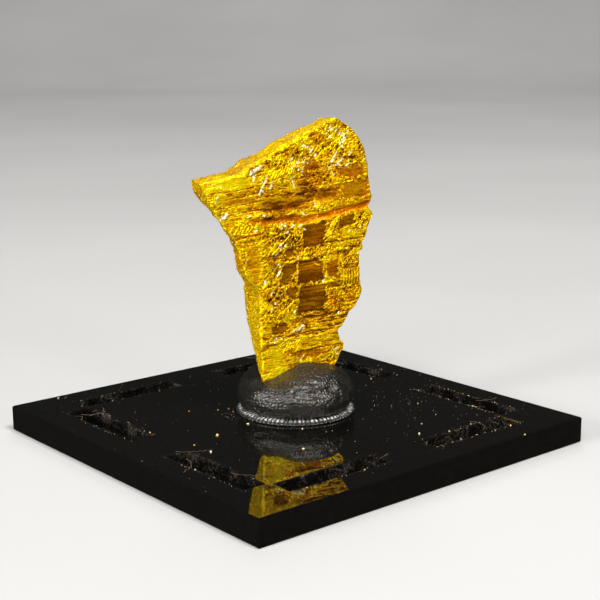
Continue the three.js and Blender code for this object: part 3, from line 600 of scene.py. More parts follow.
def mesh_object(name, points_mm, faces, smooth=False):
    mesh = bpy.data.meshes.new(name)
    mesh.from_pydata((np.asarray(points_mm) * MM).tolist(), [], [[int(n) for n in face] for face in faces])
    mesh.update()
    mesh.polygons.foreach_set("use_smooth", [smooth] * len(mesh.polygons))
    piece = bpy.data.objects.new(name, mesh)
    bpy.context.scene.collection.objects.link(piece)
    return piece


def write_marks(piece, marks):
    """Keeps each mark as a number from 0 to 1 at every point, for the material to read."""
    for name, values in marks.items():
        layer = piece.data.attributes.new(name, "FLOAT", "POINT")
        layer.data.foreach_set("value", np.clip(values, 0, 1).astype(np.float32))


def looks_at(i, k):
    """The front's and the back's looks at grid places."""
    s, t, q = np.meshgrid(np.arange(ACROSS + 1) / ACROSS, np.arange(HIGH + 1) / HIGH, [0, 1], indexing="ij")
    _, _, u, _, w = outline(s, t, q)
    looks = front_looks(u[..., 0], w[..., 0]), back_looks(u[..., 1], w[..., 1])
    return ({name: grid[i, k] for name, grid in look.items()} for look in looks)


def broken_side(v, w):
    """Broken crystal on the blade's sides: how far it stands out, its tone and its sparkle."""
    flats, own, edge = facets(v / 0.8 + 9, w / 0.7, 81)
    streaks = 1 - 2 * np.abs(waves(v / 0.34 + 0.4 * waves(v, w / 1.5, 83), w / 2.8, 82))
    out = 0.1 * flats + 0.05 * streaks + 0.05 * (1 - ramp(edge, 0, 0.18))
    tone = 0.98 + 0.45 * (own - 0.5) + 0.4 * streaks + 0.2 * (1 - ramp(edge, 0, 0.14))
    return out, tone, 0.3 * ramp(own, 0.9, 0.95)


def broken_top(u, v):
    """Broken crystal on the blade's top: how far it stands out, and its tone."""
    flats, own, _ = facets(u / 0.8, v / 0.9 + 5, 86)
    return 0.08 * flats + 0.05 * waves(u * 2.6, v * 2.6, 88), 0.74 + 0.3 * (own - 0.5)


def side_marks(tone, sparkle, on_top, on_left, v, w):
    """Marks of the sides and the top.

    The left flank is redder between the horn and the broad side face, where a red crack runs down.
    """
    flank = on_left * ramp(w, 16.5, 18.5) * (1 - ramp(w, 24.0, 26.5)) + 0.75 * on_left * ramp(w, 27, 28)
    crack = on_left * (1 - ramp(np.abs(v - 1.6 - 0.3 * np.sin(1.7 * w)), 0.05, 0.22)) * ramp(w, 11.6, 12.2)
    crack *= 1 - ramp(w, 14.2, 14.8)
    darker = 0.25 * crack + 0.2 * flank + 0.1 * on_left * ramp(w, 24.5, 26.5)
    rust = 0.32 + 0.35 * ramp(waves(v * 1.3, w * 0.7, 66), 0.0, 0.7)
    return {
        "tone": tone - darker, "clear": 0.1, "rust": np.maximum(np.maximum(rust, 0.95 * flank), crack),
        "gleam": 0.0, "sparkle": sparkle, "crumple": np.where(on_top, 0.25, 0.5), "smooth": 0.0,
    }


def make_blade():
    """The blade: its lattice with the front's and the back's relief on it, and the marks of its looks."""
    places, faces = blade_faces()
    i, k, layer = places.T
    near, far = looks_at(i, k)
    s, t, q = i / ACROSS, k / HIGH, layer / DEEP
    left, right, u, thick, w = outline(s, t, q)

    # Rounded, broken rims: how far a point of the front or back lies from the nearest side, mm.
    from_ends, from_top = np.minimum(u - left, right - u), (1 - t) * ROW_RISE
    from_side = np.minimum(from_ends, from_top)
    rim = RIM * (1 + 0.7 * waves(u * 1.1, w * 1.1, 61))
    inset = rim * np.clip(1 - from_side / (1.6 * rim), 0, 1) ** 2
    fade = np.clip(from_side / 0.3, 0.2, 1)
    v = mix(inset - fade * near["out"], thick - inset + fade * far["out"], q)

    # The sides and the top are hackled too, and nibble the outline of the faces beside them.
    near_ends, near_top = (np.clip(1 - distance / HACKLED, 0, 1) for distance in (from_ends, from_top))
    side_out, side_tone, side_sparkle = broken_side(v, w)
    u = u + near_ends * side_out * np.where(s < 0.5, -1, 1)
    top_out, top_tone = broken_top(u, v)
    w = w + near_top * top_out

    piece = mesh_object("orpiment_surface", to_world(u, v, w), faces)
    marks = {name: np.where(q > 0.5, far[name], near[name]) for name in near if name != "out"}
    on_top = t > NEARLY_TOP
    sides = side_marks(np.where(on_top, top_tone, side_tone), side_sparkle, on_top, s == 0, v, w)
    for name, value in sides.items():
        marks[name] = np.where((q > 0) & (q < 1), value, marks[name])
    # Painted highlight on the sides and the top and along the rims beside them, stronger on the right half
    # than on the left.
    painted_edge_highlight = np.where(s > 0.5, 0.6, 0.4) * (1 - ramp(from_side, 0.08, 0.35))
    marks["tone"] = marks["tone"] + painted_edge_highlight * (0.6 + 0.5 * waves(u * 1.2, w * 1.2, 68))
    stained = np.maximum(0.5 * ramp(waves(u * 0.6 + 3, v * 0.5, 67), 0.15, 0.5), patch(u, v, *TOP_STAIN))
    marks["weathered"] = near_top * stained * ramp(u, -11, -9.5) * (1 - ramp(u, 1.0, 2.5))
    write_marks(piece, marks)
    return piece


# ---- the putty ----

# Its profile: radius and height above the disc, from the foot to the crown.
PUTTY_PROFILE = [
    (6.1, 0), (6.75, 0.4), (7.1, 0.95), (7.28, 1.7), (7.18, 2.5), (6.8, 3.3), (6.1, 4.1), (5.1, 4.75),
    (3.9, 5.2), (2.5, 5.5), (1.2, 5.62), (0, 5.65),
]
PUTTY_ROUND, PUTTY_UP = 420, 190  # points round it and from its foot to its crown
SOFT_REACH = 0.6  # how far along the profile its corners are softened, mm
OVERSAMPLED = 12  # how many times more points the curve has while it is softened
# Level directions along its front and towards whoever looks at it.
PUTTY_ACROSS, PUTTY_FRONT = (0.765, -0.644), (-0.644, -0.765)
# Folds seen on its front: points of (across, up), half width, depth.
PUTTY_FOLDS = [
    ([(0.4, 3.4), (1.8, 3.2), (3, 3.2), (4.2, 3.6)], 1.05, 0.34),
    ([(4.2, 3.6), (5.2, 3), (5.4, 2)], 0.4, 0.16), ([(-4.6, 1.2), (-3, 0.8), (-1, 1)], 0.5, 0.12),
    ([(2, 4.4), (3.2, 4.1), (4.4, 4.3)], 0.35, 0.1),
]
CRINKLES = (3.6, 3.0, 2.6, 2.2)  # the crinkled place on its front, an oval in (across, up)
PEBBLE = 0.42  # size of the crinkles' pebbles, mm
SKIN = 0.46  # size of the bumps of its leathery skin, mm


def smooth_profile(table, count):
    """Evenly spaced points of a soft curve through the table's points."""
    points = np.array(table, float)
    run = np.concatenate([[0], np.cumsum(np.hypot(*np.diff(points, axis=0).T))])
    steps = OVERSAMPLED * count
    fine = np.linspace(0, run[-1], steps)
    dense = np.stack([np.interp(fine, run, points[:, c]) for c in (0, 1)], axis=-1)
    width = int(SOFT_REACH / (run[-1] / steps))
    kernel = np.hanning(width | 1)
    kernel /= kernel.sum()
    padded = np.pad(dense, ((width // 2, width // 2), (0, 0)), mode="edge")
    soft = np.stack([np.convolve(padded[:, c], kernel, mode="valid") for c in (0, 1)], axis=-1)
    soft[0], soft[-1] = points[0], points[-1]
    return soft[np.linspace(0, len(soft) - 1, count).astype(int)]


def putty_relief(x, y, z, angle, down):
    """How far the putty's skin stands out: its lumps, folds, crinkles and leather, mm."""
    off = 0.14 * waves(x / 2.4, (y + z) / 2.4, 101)
    off = off + 0.04 * (waves(x / 1.1, (y + z) / 1.1, 102) + waves((x + z) / 1.1, y / 1.1, 106))
    # Creases and folds pressed into its front, as lines seen from the front: (across, up).
    across = x * PUTTY_ACROSS[0] + y * PUTTY_ACROSS[1]
    facing = ramp(x * PUTTY_FRONT[0] + y * PUTTY_FRONT[1], 0.0, 2.0)
    for points, half, depth in PUTTY_FOLDS:
        off = off - depth * facing * (1 - ramp(line_distance(across, z, points), 0.1 * half, half))
    crinkled = facing * patch(across, z, *CRINKLES)
    pebbles, _, gap = facets(x / PEBBLE + 40, (y - 0.8 * z) / PEBBLE, 103)
    off = off + crinkled * (0.05 * pebbles - 0.08 * (1 - ramp(gap, 0, 0.3)))
    # Fine leathery skin, laid round the side and flat over the top.
    _, _, skin_side = facets(*np.broadcast_arrays(angle * 7.0 / SKIN, down / SKIN), 104)
    _, _, skin_top = facets(x / SKIN, y / SKIN, 105)
    off = off + 0.055 * ramp(mix(skin_side, skin_top, ramp(z, 4.0, 4.8)), 0, 0.5)
    return off * ramp(z, 0.0, 0.5)


def make_putty():
    """The putty: its profile turned round the middle, with its relief on it."""
    profile = smooth_profile(PUTTY_PROFILE, PUTTY_UP)
    angle = np.linspace(0, 2 * np.pi, PUTTY_ROUND, endpoint=False)
    r, z = profile[:-1, 0][:, None], profile[:-1, 1][:, None]
    x, y = r * np.cos(angle), r * np.sin(angle)
    z = np.broadcast_to(z, x.shape)
    rise, run = (np.gradient(profile[:, c])[:-1][:, None] for c in (1, 0))
    step = np.hypot(rise, run)
    normal_r, normal_z = rise / step, -run / step
    off = putty_relief(x, y, z, angle, np.cumsum(step, axis=0))
    x2 = x + normal_r * np.cos(angle) * off
    y2 = y + normal_r * np.sin(angle) * off
    z2 = z + normal_z * off
    # Pressed low round the blade's lower left corner.
    press = 0.6 * np.exp(-(((x2 + 4.2) / 2.3) ** 2) - ((y2 + 1.0) / 2.6) ** 2)
    z2 = z2 - press * ramp(z, 1.5, 3.8)
    return revolved("putty_surface", x2, y2, z2 + DISC_THICK, profile[-1, 1] + DISC_THICK, DISC_THICK)


def revolved(name, x, y, z, crown, foot):
    """A closed surface from rings of points round the middle of the disc, mm above the plate."""
    rings, around = x.shape
    points = np.stack([x + CENTRE[0], y + CENTRE[1], z + TOP], axis=-1).reshape(-1, 3)
    points = np.concatenate([points, [[*CENTRE, crown + TOP], [*CENTRE, foot + TOP]]])
    faces = []
    for low in range(0, (rings - 1) * around, around):
        high = low + around
        for b in range(around):
            c = (b + 1) % around
            faces.append((low + b, low + c, high + c, high + b))
    last, top, bottom = (rings - 1) * around, rings * around, rings * around + 1
    for b in range(around):
        c = (b + 1) % around
        faces += [(last + b, last + c, top), (c, b, bottom)]
    return mesh_object(name, points, faces, smooth=True)


# ---- the disc ----

# The disc's outer profile: radius and height above the plate.
DISC_PROFILE = [
    (7.12, 0), (7.3, 0.04), (7.38, 0.1), (7.4, 0.18), (7.36, 0.27), (7.26, 0.34), (7.12, 0.41),
    (6.98, 0.46), (6.84, 0.49), (6.7, 0.5), (6.5, 0.5),
]
DISC_THICK, DISC_RADIUS = 0.5, 7.4
FLUTES, FLUTE_STEPS = 80, 8  # flutes, and points in each


def make_disc():
    """The clear disc, with a soft flute at each notch of its sloping rim."""
    angle = np.linspace(0, 2 * np.pi, FLUTES * FLUTE_STEPS, endpoint=False)
    r, z = (np.array(DISC_PROFILE)[:, c][:, None] for c in (0, 1))
    flute = np.arange(FLUTES * FLUTE_STEPS) // FLUTE_STEPS
    lean = 0.35 * (2 * chance(flute, 0, 110) - 1)
    wave = np.cos(FLUTES * angle + lean)
    size = 0.7 + 0.6 * chance(flute, 0, 111)
    slope = ramp(z, 0.2, 0.3) * (1 - ramp(z, 0.485, DISC_THICK))
    r2 = r - 0.11 * (1 - wave) * size * ramp(r, 6.6, 7.2) * (0.3 + 0.7 * slope)
    z2 = np.broadcast_to(z - 0.05 * (1 - wave) * size * slope, r2.shape)
    piece = revolved("disc_surface", r2 * np.cos(angle), r2 * np.sin(angle), z2, DISC_THICK, 0.0)
    # Painted highlight: white in short uneven dashes along the upper edge.
    highlight_breakup = 0.5 + 0.9 * waves(angle * 9.0, 0, 113) + 0.5 * (chance(flute, 0, 112) - 0.5)
    bright = np.clip(1.5 * wave + 0.9, 0, 1) * (0.4 + 0.6 * ramp(highlight_breakup, 0.1, 0.6)) * ramp(z, 0.395, 0.44)
    # The painted highlight is stronger on one side of the disc than on the other.
    bright = bright * (0.8 - 0.2 * np.cos(angle + 0.7))
    write_marks(piece, {"painted_rim_highlight": np.concatenate([np.broadcast_to(bright, r2.shape).ravel(), [0, 0]])})
    return piece


# ---- the dust ----

# Notable crumbs on the plate: x, y and size in mm, and kind of colour.
CRUMBS = [
    (-7.3, -0.6, 0.42, 0.95), (-12.6, -1.6, 0.4, 0.85), (-16.7, -5.9, 0.3, 0.95), (-8.2, -11.9, 0.4, 0.95),
    (-16.7, -2.7, 0.22, 0.85), (-19, 24, 0.3, 0.6), (5.5, -16.7, 0.3, 0.95), (14.5, -25, 0.22, 0.9),
    (-3.6, -6.3, 0.22, 0.9), (-5.6, 4.6, 0.2, 0.8), (-5.3, 5.9, 0.2, 0.7), (-6.6, 6.4, 0.16, 0.8),
    (8.4, -14.2, 0.24, 0.6), (17.4, 4.2, 0.2, 0.9), (14, -8, 0.2, 0.8), (-9.6, 8.4, 0.18, 0.8),
    (-2.2, -9, 0.18, 0.7), (-19.6, 14.9, 0.25, 0.6),
]
# Curls of lint: x, y, height above the plate, length, heading, curl, kind of colour.
LINT = [
    (-20.4, 15.9, 0.06, 5, -1.2, 2.6, 0.45), (-20, 14.6, 0.08, 4, 0.3, -3, 0.45),
    (11.6, 24, 0.06, 5, -0.8, 1, 0.45), (-19.6, -3.2, 0.06, 4.4, -1.3, 1.4, 0.25),
    (-20.2, -6, 0.06, 5, -1.8, -1.6, 0.25), (-19.2, -13, 0.06, 4.6, -1.4, 2, 0.25),
    (20.4, -12, 0.06, 3.4, -1.2, 1.8, 0.3), (12, -20.6, 0.06, 4, 0.2, 1.2, 0.3),
]
# The slots: how far their middles lie along each side and out from the plate's middle, and their size, mm.
SLOT_MIDDLE, SLOT_LINE, SLOT_LONG, SLOT_WIDE = 10.75, 19.875, 14, 2.75
GRAIN_REACH, FIBRE_REACH = 24.8, 24  # how far out from the plate's middle scattered dust may lie, mm
SIDES = (-1, 1)
FULL_TURN, THIRD_TURN, FIFTH_TURN, TWELFTH_TURN = 6.28, 2.0944, 1.2566, 0.5236  # radians
FIBRE_LIFT, FIBRE_STEPS, FIBRE_THICK = 0.06, 12, 0.022  # height in mm, steps, radius in mm
DUST_SEED = 7
# How many grains are tried round the slots, towards the right-hand corner, beside the disc and all over.
SLOT_GRAINS, CORNER_GRAINS, DISC_GRAINS, STRAY_GRAINS = 620, 150, 34, 260
SLOT_FIBRES = 18


def on_plate(x, y, reach):
    return abs(x) < reach and abs(y) < reach


def from_disc(x, y):
    """Distance from the middle of the disc."""
    return math.hypot(x - CENTRE[0], y - CENTRE[1])


def over_slot(x, y):
    inner, outer = sorted((abs(x), abs(y)))
    return abs(inner - SLOT_MIDDLE) < SLOT_LONG / 2 and abs(outer - SLOT_LINE) < SLOT_WIDE / 2


def either_way(draw, line, place):
    """A spot by a slot that runs one way or, as often, the other."""
    return (line, place) if draw.random() < 0.5 else (place, line)


def scattered_grains(draw):
    """Grains round the slots, beside the disc and thinly all over, as (x, y, size, kind of colour)."""
    grains = []
    for _ in range(SLOT_GRAINS):  # most of it near the right-hand corner
        off = draw.choice(SIDES) * (SLOT_WIDE / 2 + abs(draw.normal(0, 0.35)))
        line = (SLOT_LINE + off) * draw.choice(SIDES)
        place = (SLOT_MIDDLE + draw.uniform(-0.55, 0.55) * SLOT_LONG) * draw.choice(SIDES)
        x, y = either_way(draw, line, place)
        if draw.random() < 0.35 + 0.65 * (x - y > 18) and on_plate(x, y, GRAIN_REACH):
            grains.append((x, y, draw.lognormal(-2.4, 0.45), draw.random() ** 1.3))
    for _ in range(CORNER_GRAINS):  # a scatter between the disc and the right-hand corner
        x, y = draw.normal(16, 4.5), draw.normal(-7, 5.5)
        if on_plate(x, y, GRAIN_REACH) and from_disc(x, y) > 8:
            grains.append((x, y, draw.lognormal(-2.65, 0.4), 0.75 * draw.random()))
    for _ in range(DISC_GRAINS):  # flakes shed beside the disc
        turn = draw.normal(2.75, 0.25)
        reach = DISC_RADIUS + abs(draw.normal(0, 1.1)) + 0.2
        x, y = CENTRE[0] + reach * math.cos(turn), CENTRE[1] + reach * math.sin(turn)
        grains.append((x, y, draw.lognormal(-2.75, 0.4), 0.35 + 0.4 * draw.random()))
    for _ in range(STRAY_GRAINS):  # thinly all over
        x, y = draw.uniform(-GRAIN_REACH, GRAIN_REACH, 2)
        if from_disc(x, y) > 7.8:
            grains.append((x, y, draw.lognormal(-2.75, 0.35), draw.random()))
    return grains


def add_grain(mesh, draw, x, y, size, kind):
    """A five-sided crumb that comes to a point above and below."""
    first, spin = len(mesh.points), draw.uniform(0, FULL_TURN)
    for turn in range(5):
        a = spin + turn * FIFTH_TURN + draw.uniform(-0.3, 0.3)
        reach = size * draw.uniform(0.35, 0.6)
        up = size * draw.uniform(0.0, 0.15)
        mesh.points.append((x + reach * math.cos(a), y + reach * math.sin(a), TOP + up))
    mesh.points.append((x, y, TOP + size * draw.uniform(0.4, 0.8)))
    mesh.points.append((x, y, TOP))
    mesh.faces += [(first + n, first + (n + 1) % 5, first + 5) for n in range(5)]
    mesh.faces += [(first + (n + 1) % 5, first + n, first + 6) for n in range(5)]
    mesh.kinds += [kind] * 7


def add_fibre(mesh, draw, x, y, lift, length, heading, curl, kind):
    """A thin three-sided thread that curls as it lies."""
    first, z = len(mesh.points), TOP + lift
    for n in range(FIBRE_STEPS + 1):
        for side in range(3):
            a = THIRD_TURN * side + TWELFTH_TURN
            off = FIBRE_THICK * math.cos(a)
            corner = (x - off * math.sin(heading), y + off * math.cos(heading), z + FIBRE_THICK * math.sin(a))
            mesh.points.append(corner)
            mesh.kinds.append(kind)
        x += length / FIBRE_STEPS * math.cos(heading)
        y += length / FIBRE_STEPS * math.sin(heading)
        z = TOP + lift + 0.1 * math.sin(math.pi * n / FIBRE_STEPS) * (1 + math.sin(3 * n))
        heading += curl / FIBRE_STEPS + draw.normal(0, 0.12)
    last = first + 3 * FIBRE_STEPS
    for ring in range(first, last, 3):
        for side in range(3):
            a, b = ring + side, ring + (side + 1) % 3
            mesh.faces.append((a, b, b + 3, a + 3))
    mesh.faces.append((first + 2, first + 1, first))
    mesh.faces.append((last, last + 1, last + 2))


def make_dust():
    """Crumbs, dust and lint lying on the plate, on its rims and in its slots, as one mesh."""
    draw = np.random.default_rng(DUST_SEED)
    mesh = SimpleNamespace(points=[], faces=[], kinds=[])
    for x, y, size, kind in CRUMBS + scattered_grains(draw):
        if not over_slot(x, y):
            add_grain(mesh, draw, x, y, size, kind)
    for curl_of_lint in LINT:
        add_fibre(mesh, draw, *curl_of_lint)
    for _ in range(SLOT_FIBRES):  # short fibres along the slots
        line = (SLOT_LINE + draw.normal(0, 0.9)) * draw.choice(SIDES)
        place = (SLOT_MIDDLE + draw.uniform(-SLOT_LONG / 2, SLOT_LONG / 2)) * draw.choice(SIDES)
        x, y = either_way(draw, line, place)
        if on_plate(x, y, FIBRE_REACH):
            length, heading, curl = draw.uniform(0.6, 2.2), draw.uniform(0, FULL_TURN), draw.normal(0, 1.2)
            add_fibre(mesh, draw, x, y, FIBRE_LIFT, length, heading, curl, 0.2)
    piece = mesh_object("plate_dust", mesh.points, mesh.faces)
    write_marks(piece, {"kind": np.array(mesh.kinds)})
    return piece


# ---- materials ----


class Value:
    """One output of a node. Sums and products of it add the math nodes that they stand for."""

    def __init__(self, socket):
        self.socket = socket

    def __add__(self, other):
        return calculate("ADD", self, other)

    def __sub__(self, other):
        return calculate("SUBTRACT", self, other)

    def __rsub__(self, other):
        return calculate("SUBTRACT", other, self)

    def __mul__(self, other):
        return calculate("MULTIPLY", self, other)

    def __gt__(self, other):
        return calculate("GREATER_THAN", self, other)

    def __abs__(self):
        return calculate("ABSOLUTE", self, 0.0)

    def clamped(self):
        """The same, kept from 0 to 1."""
        self.socket.node.use_clamp = True
        return self


def calculate(kind, a, b):
    """The output of a new math node, in the tree that the inputs belong to."""
    tree = next(value.socket.id_data for value in (a, b) if isinstance(value, Value))
    node = tree.nodes.new("ShaderNodeMath")
    node.operation = kind
    fill(node, {0: a, 1: b})
    return Value(node.outputs[0])


def fill(node, inputs):
    """Sets a node's inputs, each to a plain value or to the output of another node."""
    for name, value in inputs.items():
        if isinstance(value, Value):
            node.id_data.links.new(value.socket, node.inputs[name])
        else:
            node.inputs[name].default_value = value


class Graph:
    """A new material, and short ways to add the nodes used here."""

    def __init__(self, name):
        self.material = bpy.data.materials.new(name)
        self.material.use_nodes = True
        self.tree = self.material.node_tree
        self.tree.nodes.clear()
        self.output = self.tree.nodes.new("ShaderNodeOutputMaterial")
        self.shader = self.tree.nodes.new("ShaderNodeBsdfPrincipled")
        self.tree.links.new(self.shader.outputs["BSDF"], self.output.inputs["Surface"])

    def add(self, kind, output, inputs, **settings):
        """A new node with its settings and inputs; gives one of its outputs."""
        node = self.tree.nodes.new("ShaderNode" + kind)
        for name, value in settings.items():
            setattr(node, name, value)
        fill(node, inputs)
        return Value(node.outputs[output])

    def mark(self, name):
        return self.add("Attribute", "Fac", {}, attribute_name=name)

    def place(self):
        return self.add("TexCoord", "Object", {})

    def stretch(self, vector, scale):
        return self.add("Mapping", 0, {"Vector": vector, "Scale": scale})

    def turn(self, vector, degrees, axis="Z"):
        turns = tuple(math.radians(degrees) * (axis == name) for name in "XYZ")
        return self.add("Mapping", 0, {"Vector": vector, "Rotation": turns})

    def thread(self, noise, sharpness):
        """1 along the thin winding lines where a noise crosses its middle value."""
        return (1.0 - abs(noise - 0.5) * sharpness).clamped()

    def split(self, colour, channel="Red"):
        return self.add("SeparateColor", channel, {0: colour})

    def vector(self, kind, inputs):
        return self.add("VectorMath", 0, inputs, operation=kind)

    def tilt(self, normal, colour, amount):
        """The normal leant a different way in each cell of a coloured pattern."""
        lean = self.vector("SUBTRACT", {0: colour, 1: (0.5, 0.5, 0.5)})
        lean = self.vector("SCALE", {0: lean, "Scale": amount})
        return self.vector("NORMALIZE", {0: self.vector("ADD", {0: normal, 1: lean})})

    def noise(self, vector, size_mm, detail=2.0, roughness=0.55):
        scale = 1 / (size_mm * MM)
        inputs = {"Vector": vector, "Scale": scale, "Detail": detail, "Roughness": roughness}
        return self.add("TexNoise", "Fac", inputs)

    def cells(self, vector, size_mm, output="Distance", feature="F1"):
        inputs = {"Vector": vector, "Scale": 1 / (size_mm * MM)}
        return self.add("TexVoronoi", output, inputs, feature=feature)

    def range(self, value, low, high, to_low=0.0, to_high=1.0):
        ends = {"From Min": low, "From Max": high, "To Min": to_low, "To Max": to_high}
        return self.add("MapRange", 0, {"Value": value, **ends})

    def colours(self, value, stops):
        colour = self.add("ValToRGB", "Color", {"Fac": value})
        elements = colour.socket.node.color_ramp.elements
        while len(elements) < len(stops):
            elements.new(0.5)
        for element, (at, stop) in zip(elements, stops):
            element.position = at
            element.color = (*stop, 1)
        return colour

    def blend(self, factor, a, b):
        a, b = (end if isinstance(end, Value) else (*end, 1) for end in (a, b))
        return self.add("Mix", "Result", {"Factor": factor, "A": a, "B": b}, data_type="RGBA")

    def bump(self, height, depth_mm, normal=None):
        inputs = {"Distance": depth_mm * MM, "Height": height}
        if normal is not None:
            inputs["Normal"] = normal
        return self.add("Bump", "Normal", inputs)


SLANT = 50  # degrees by which the crumpled sheets' edges lean
SLIVER = 0.34  # size of the slivers that shine, mm
GOLD = [
    (0.0, (0.04, 0.008, 0.0)), (0.25, (0.19, 0.055, 0.0)), (0.5, (0.55, 0.21, 0.0)),
    (0.72, (0.77, 0.39, 0.0)), (1.0, (0.82, 0.63, 0.002)),
]
AMBER = [
    (0.0, (0.026, 0.005, 0.0)), (0.45, (0.11, 0.034, 0.0)), (0.75, (0.29, 0.108, 0.0)),
    (1.0, (0.76, 0.42, 0.001)),
]
ORANGE = [
    (0.0, (0.13, 0.016, 0.0)), (0.5, (0.57, 0.135, 0.0)), (0.8, (0.72, 0.24, 0.0)),
    (1.0, (0.82, 0.45, 0.002)),
]
WEATHERED = (0.42, 0.14, 0.016)
# The white painted into the base colour as glints.
PAINTED_GLINT_COLOUR = (1.0, 1.0, 0.62)


def orpiment_grain(g, place, crumple, smooth):
    """Fine grain: its change of tone, its lumps, its coloured chips, and the stretched place of its net."""
    leant = g.turn(place, SLANT, "Y")
    speck = g.noise(place, 0.24, 2.0, 0.6)
    drawn = g.noise(g.stretch(place, (0.2, 0.5, 1.0)), 0.24, 2.0, 0.65)
    # Thin painted highlights along the edges of sheets: level ones in calm ground, slanted ones where it is
    # crumpled.
    level = g.thread(g.noise(g.stretch(place, (0.3, 0.6, 1.0)), 0.7), 16)
    slanted = g.thread(g.noise(g.stretch(leant, (0.4, 1.0, 1.0)), 0.55), 15)
    chips = g.cells(g.stretch(leant, (0.55, 1.0, 1.0)), 0.26, "Color")
    # Crumpled ground is a net of creases painted bright as highlights round small darker faces.
    net = g.stretch(leant, (0.5, 1.0, 1.0))
    crease = g.range(g.cells(net, 0.55, feature="DISTANCE_TO_EDGE"), 0.04, 0.18, 1.0, 0.0)
    crease = crease * g.range(g.noise(place, 0.8), 0.42, 0.58)
    web = level * g.range(crumple, 0.15, 0.6, 0.42, 0.15) + slanted * g.range(crumple, 0.1, 0.7, 0.1, 0.85)
    web = web + crease * g.range(crumple, 0.1, 0.6, 0.0, 0.85)
    streaky = g.range(drawn, 0.32, 0.68, -0.3, 0.2) * g.range(crumple, 0.15, 0.5, 1.0, 0.4)
    specked = g.range(speck, 0.34, 0.66, -0.5, 0.38) * g.range(crumple, 0.12, 0.7, 0.5, 1.0)
    chipped = g.range(g.split(chips), 0.0, 1.0, -0.5, 0.2) * crumple
    grain = (specked + streaky + chipped + web) * g.range(smooth, 0.0, 1.0, 1.0, 0.32)
    lumps = drawn + speck * 0.5 + web * 1.5
    return grain, lumps, chips, net


def orpiment_shine(g, net, chips, crumple, smooth):
    """1 on whole faces and on scattered slivers that get a glint painted white."""
    gleam, sparkle = g.mark("gleam"), g.mark("sparkle")
    sliver = g.range(g.cells(net, SLIVER), 0.26, 0.36, 1.0, 0.0)
    often = calculate("MAXIMUM", g.range(crumple, 0.2, 1.0, 0.0, 0.09), sparkle * 0.6)
    lucky = (g.split(g.cells(net, SLIVER, "Color")) + often > 1.0) * g.range(smooth, 0.2, 0.7, 1.0, 0.0)
    face = gleam * g.range(g.split(chips, "Green"), 0.15, 0.6, 0.2, 1.0)
    return calculate("MAXIMUM", face, sliver * lucky)


def orpiment_material():
    g = Graph("orpiment")
    place = g.turn(g.place(), -math.degrees(YAW))
    clear, rust, crumple, smooth = (g.mark(name) for name in ("clear", "rust", "crumple", "smooth"))
    grain, lumps, chips, net = orpiment_grain(g, place, crumple, smooth)
    painted_glint = orpiment_shine(g, net, chips, crumple, smooth)
    tone = (g.mark("tone") + grain).clamped()
    gold, amber, orange = (g.colours(tone, stops) for stops in (GOLD, AMBER, ORANGE))
    colour = g.blend(clear, g.blend(rust, gold, orange), g.blend(rust * 0.45, amber, orange))
    colour = g.blend(g.mark("weathered") * 0.42, colour, WEATHERED)
    opaque = g.range(calculate("MAXIMUM", clear, painted_glint), 0.0, 0.8, 1.0, 0.0)
    soft = g.bump(lumps * g.range(smooth, 0.0, 1.0, 1.0, 0.3), 0.08)
    fill(g.shader, {
        # Glints are painted white into the base colour.
        "Base Color": g.blend(painted_glint, colour, PAINTED_GLINT_COLOUR),
        "Metallic": opaque * g.range(crumple, 0.1, 0.7, 0.3, 0.5),
        "Roughness": g.range(clear, 0.0, 1.0, 0.28, 0.16) + painted_glint * 0.14,
        "IOR": 1.8,
        "Specular Tint": (1.0, 0.62, 0.03, 1),
        "Transmission Weight": g.range(clear, 0.0, 1.0, 0.12, 0.35) * (1.0 - painted_glint),
        "Coat Weight": painted_glint * 0.5,
        "Coat Roughness": 0.3,
        "Coat IOR": 2.2,
        "Normal": g.tilt(soft, chips, crumple * 0.5),
    })
    depths = g.add("VolumeAbsorption", "Volume", {"Color": (0.97, 0.55, 0.03, 1), "Density": 700})
    fill(g.output, {"Volume": depths})
    return g.material


def putty_material():
    g = Graph("putty")
    place = g.place()
    grain = g.noise(place, 0.18, 2.0, 0.6)
    mottle = g.noise(place, 1.6, 3.0)
    colour = g.colours(grain * 0.7 + mottle * 0.3, [
        (0.35, (0.005, 0.0045, 0.0036)), (0.55, (0.012, 0.0107, 0.0085)), (0.72, (0.042, 0.038, 0.03)),
    ])
    leather = g.bump(g.cells(place, 0.3), 0.03)
    fill(g.shader, {
        "Base Color": colour,
        "Roughness": g.range(mottle, 0.3, 0.7, 0.34, 0.44),
        "IOR": 1.45,
        "Specular Tint": (1.0, 0.93, 0.82, 1),
        "Coat Weight": 0.3,
        "Coat Roughness": 0.2,
        "Normal": g.bump(grain, 0.04, leather),
    })
    return g.material


def slot_dust(g, place):
    """1 where dust gathers on the rims and in the mouths of the slots."""
    across, deep = (abs(g.add("SeparateXYZ", axis, {0: place})) for axis in ("X", "Y"))
    inner, outer = calculate("MINIMUM", across, deep), calculate("MAXIMUM", across, deep)
    end = abs(inner - SLOT_MIDDLE * MM) - SLOT_LONG / 2 * MM
    side = abs(outer - SLOT_LINE * MM) - SLOT_WIDE / 2 * MM
    near_slot = g.range(calculate("MAXIMUM", end, side), 0.5 * MM, 0.0)
    lint = g.noise(place, 0.3, 4.0, 0.8) + g.noise(place, 3.0) * 0.6
    return (g.range(lint, 0.8, 1.05) * near_slot).clamped()


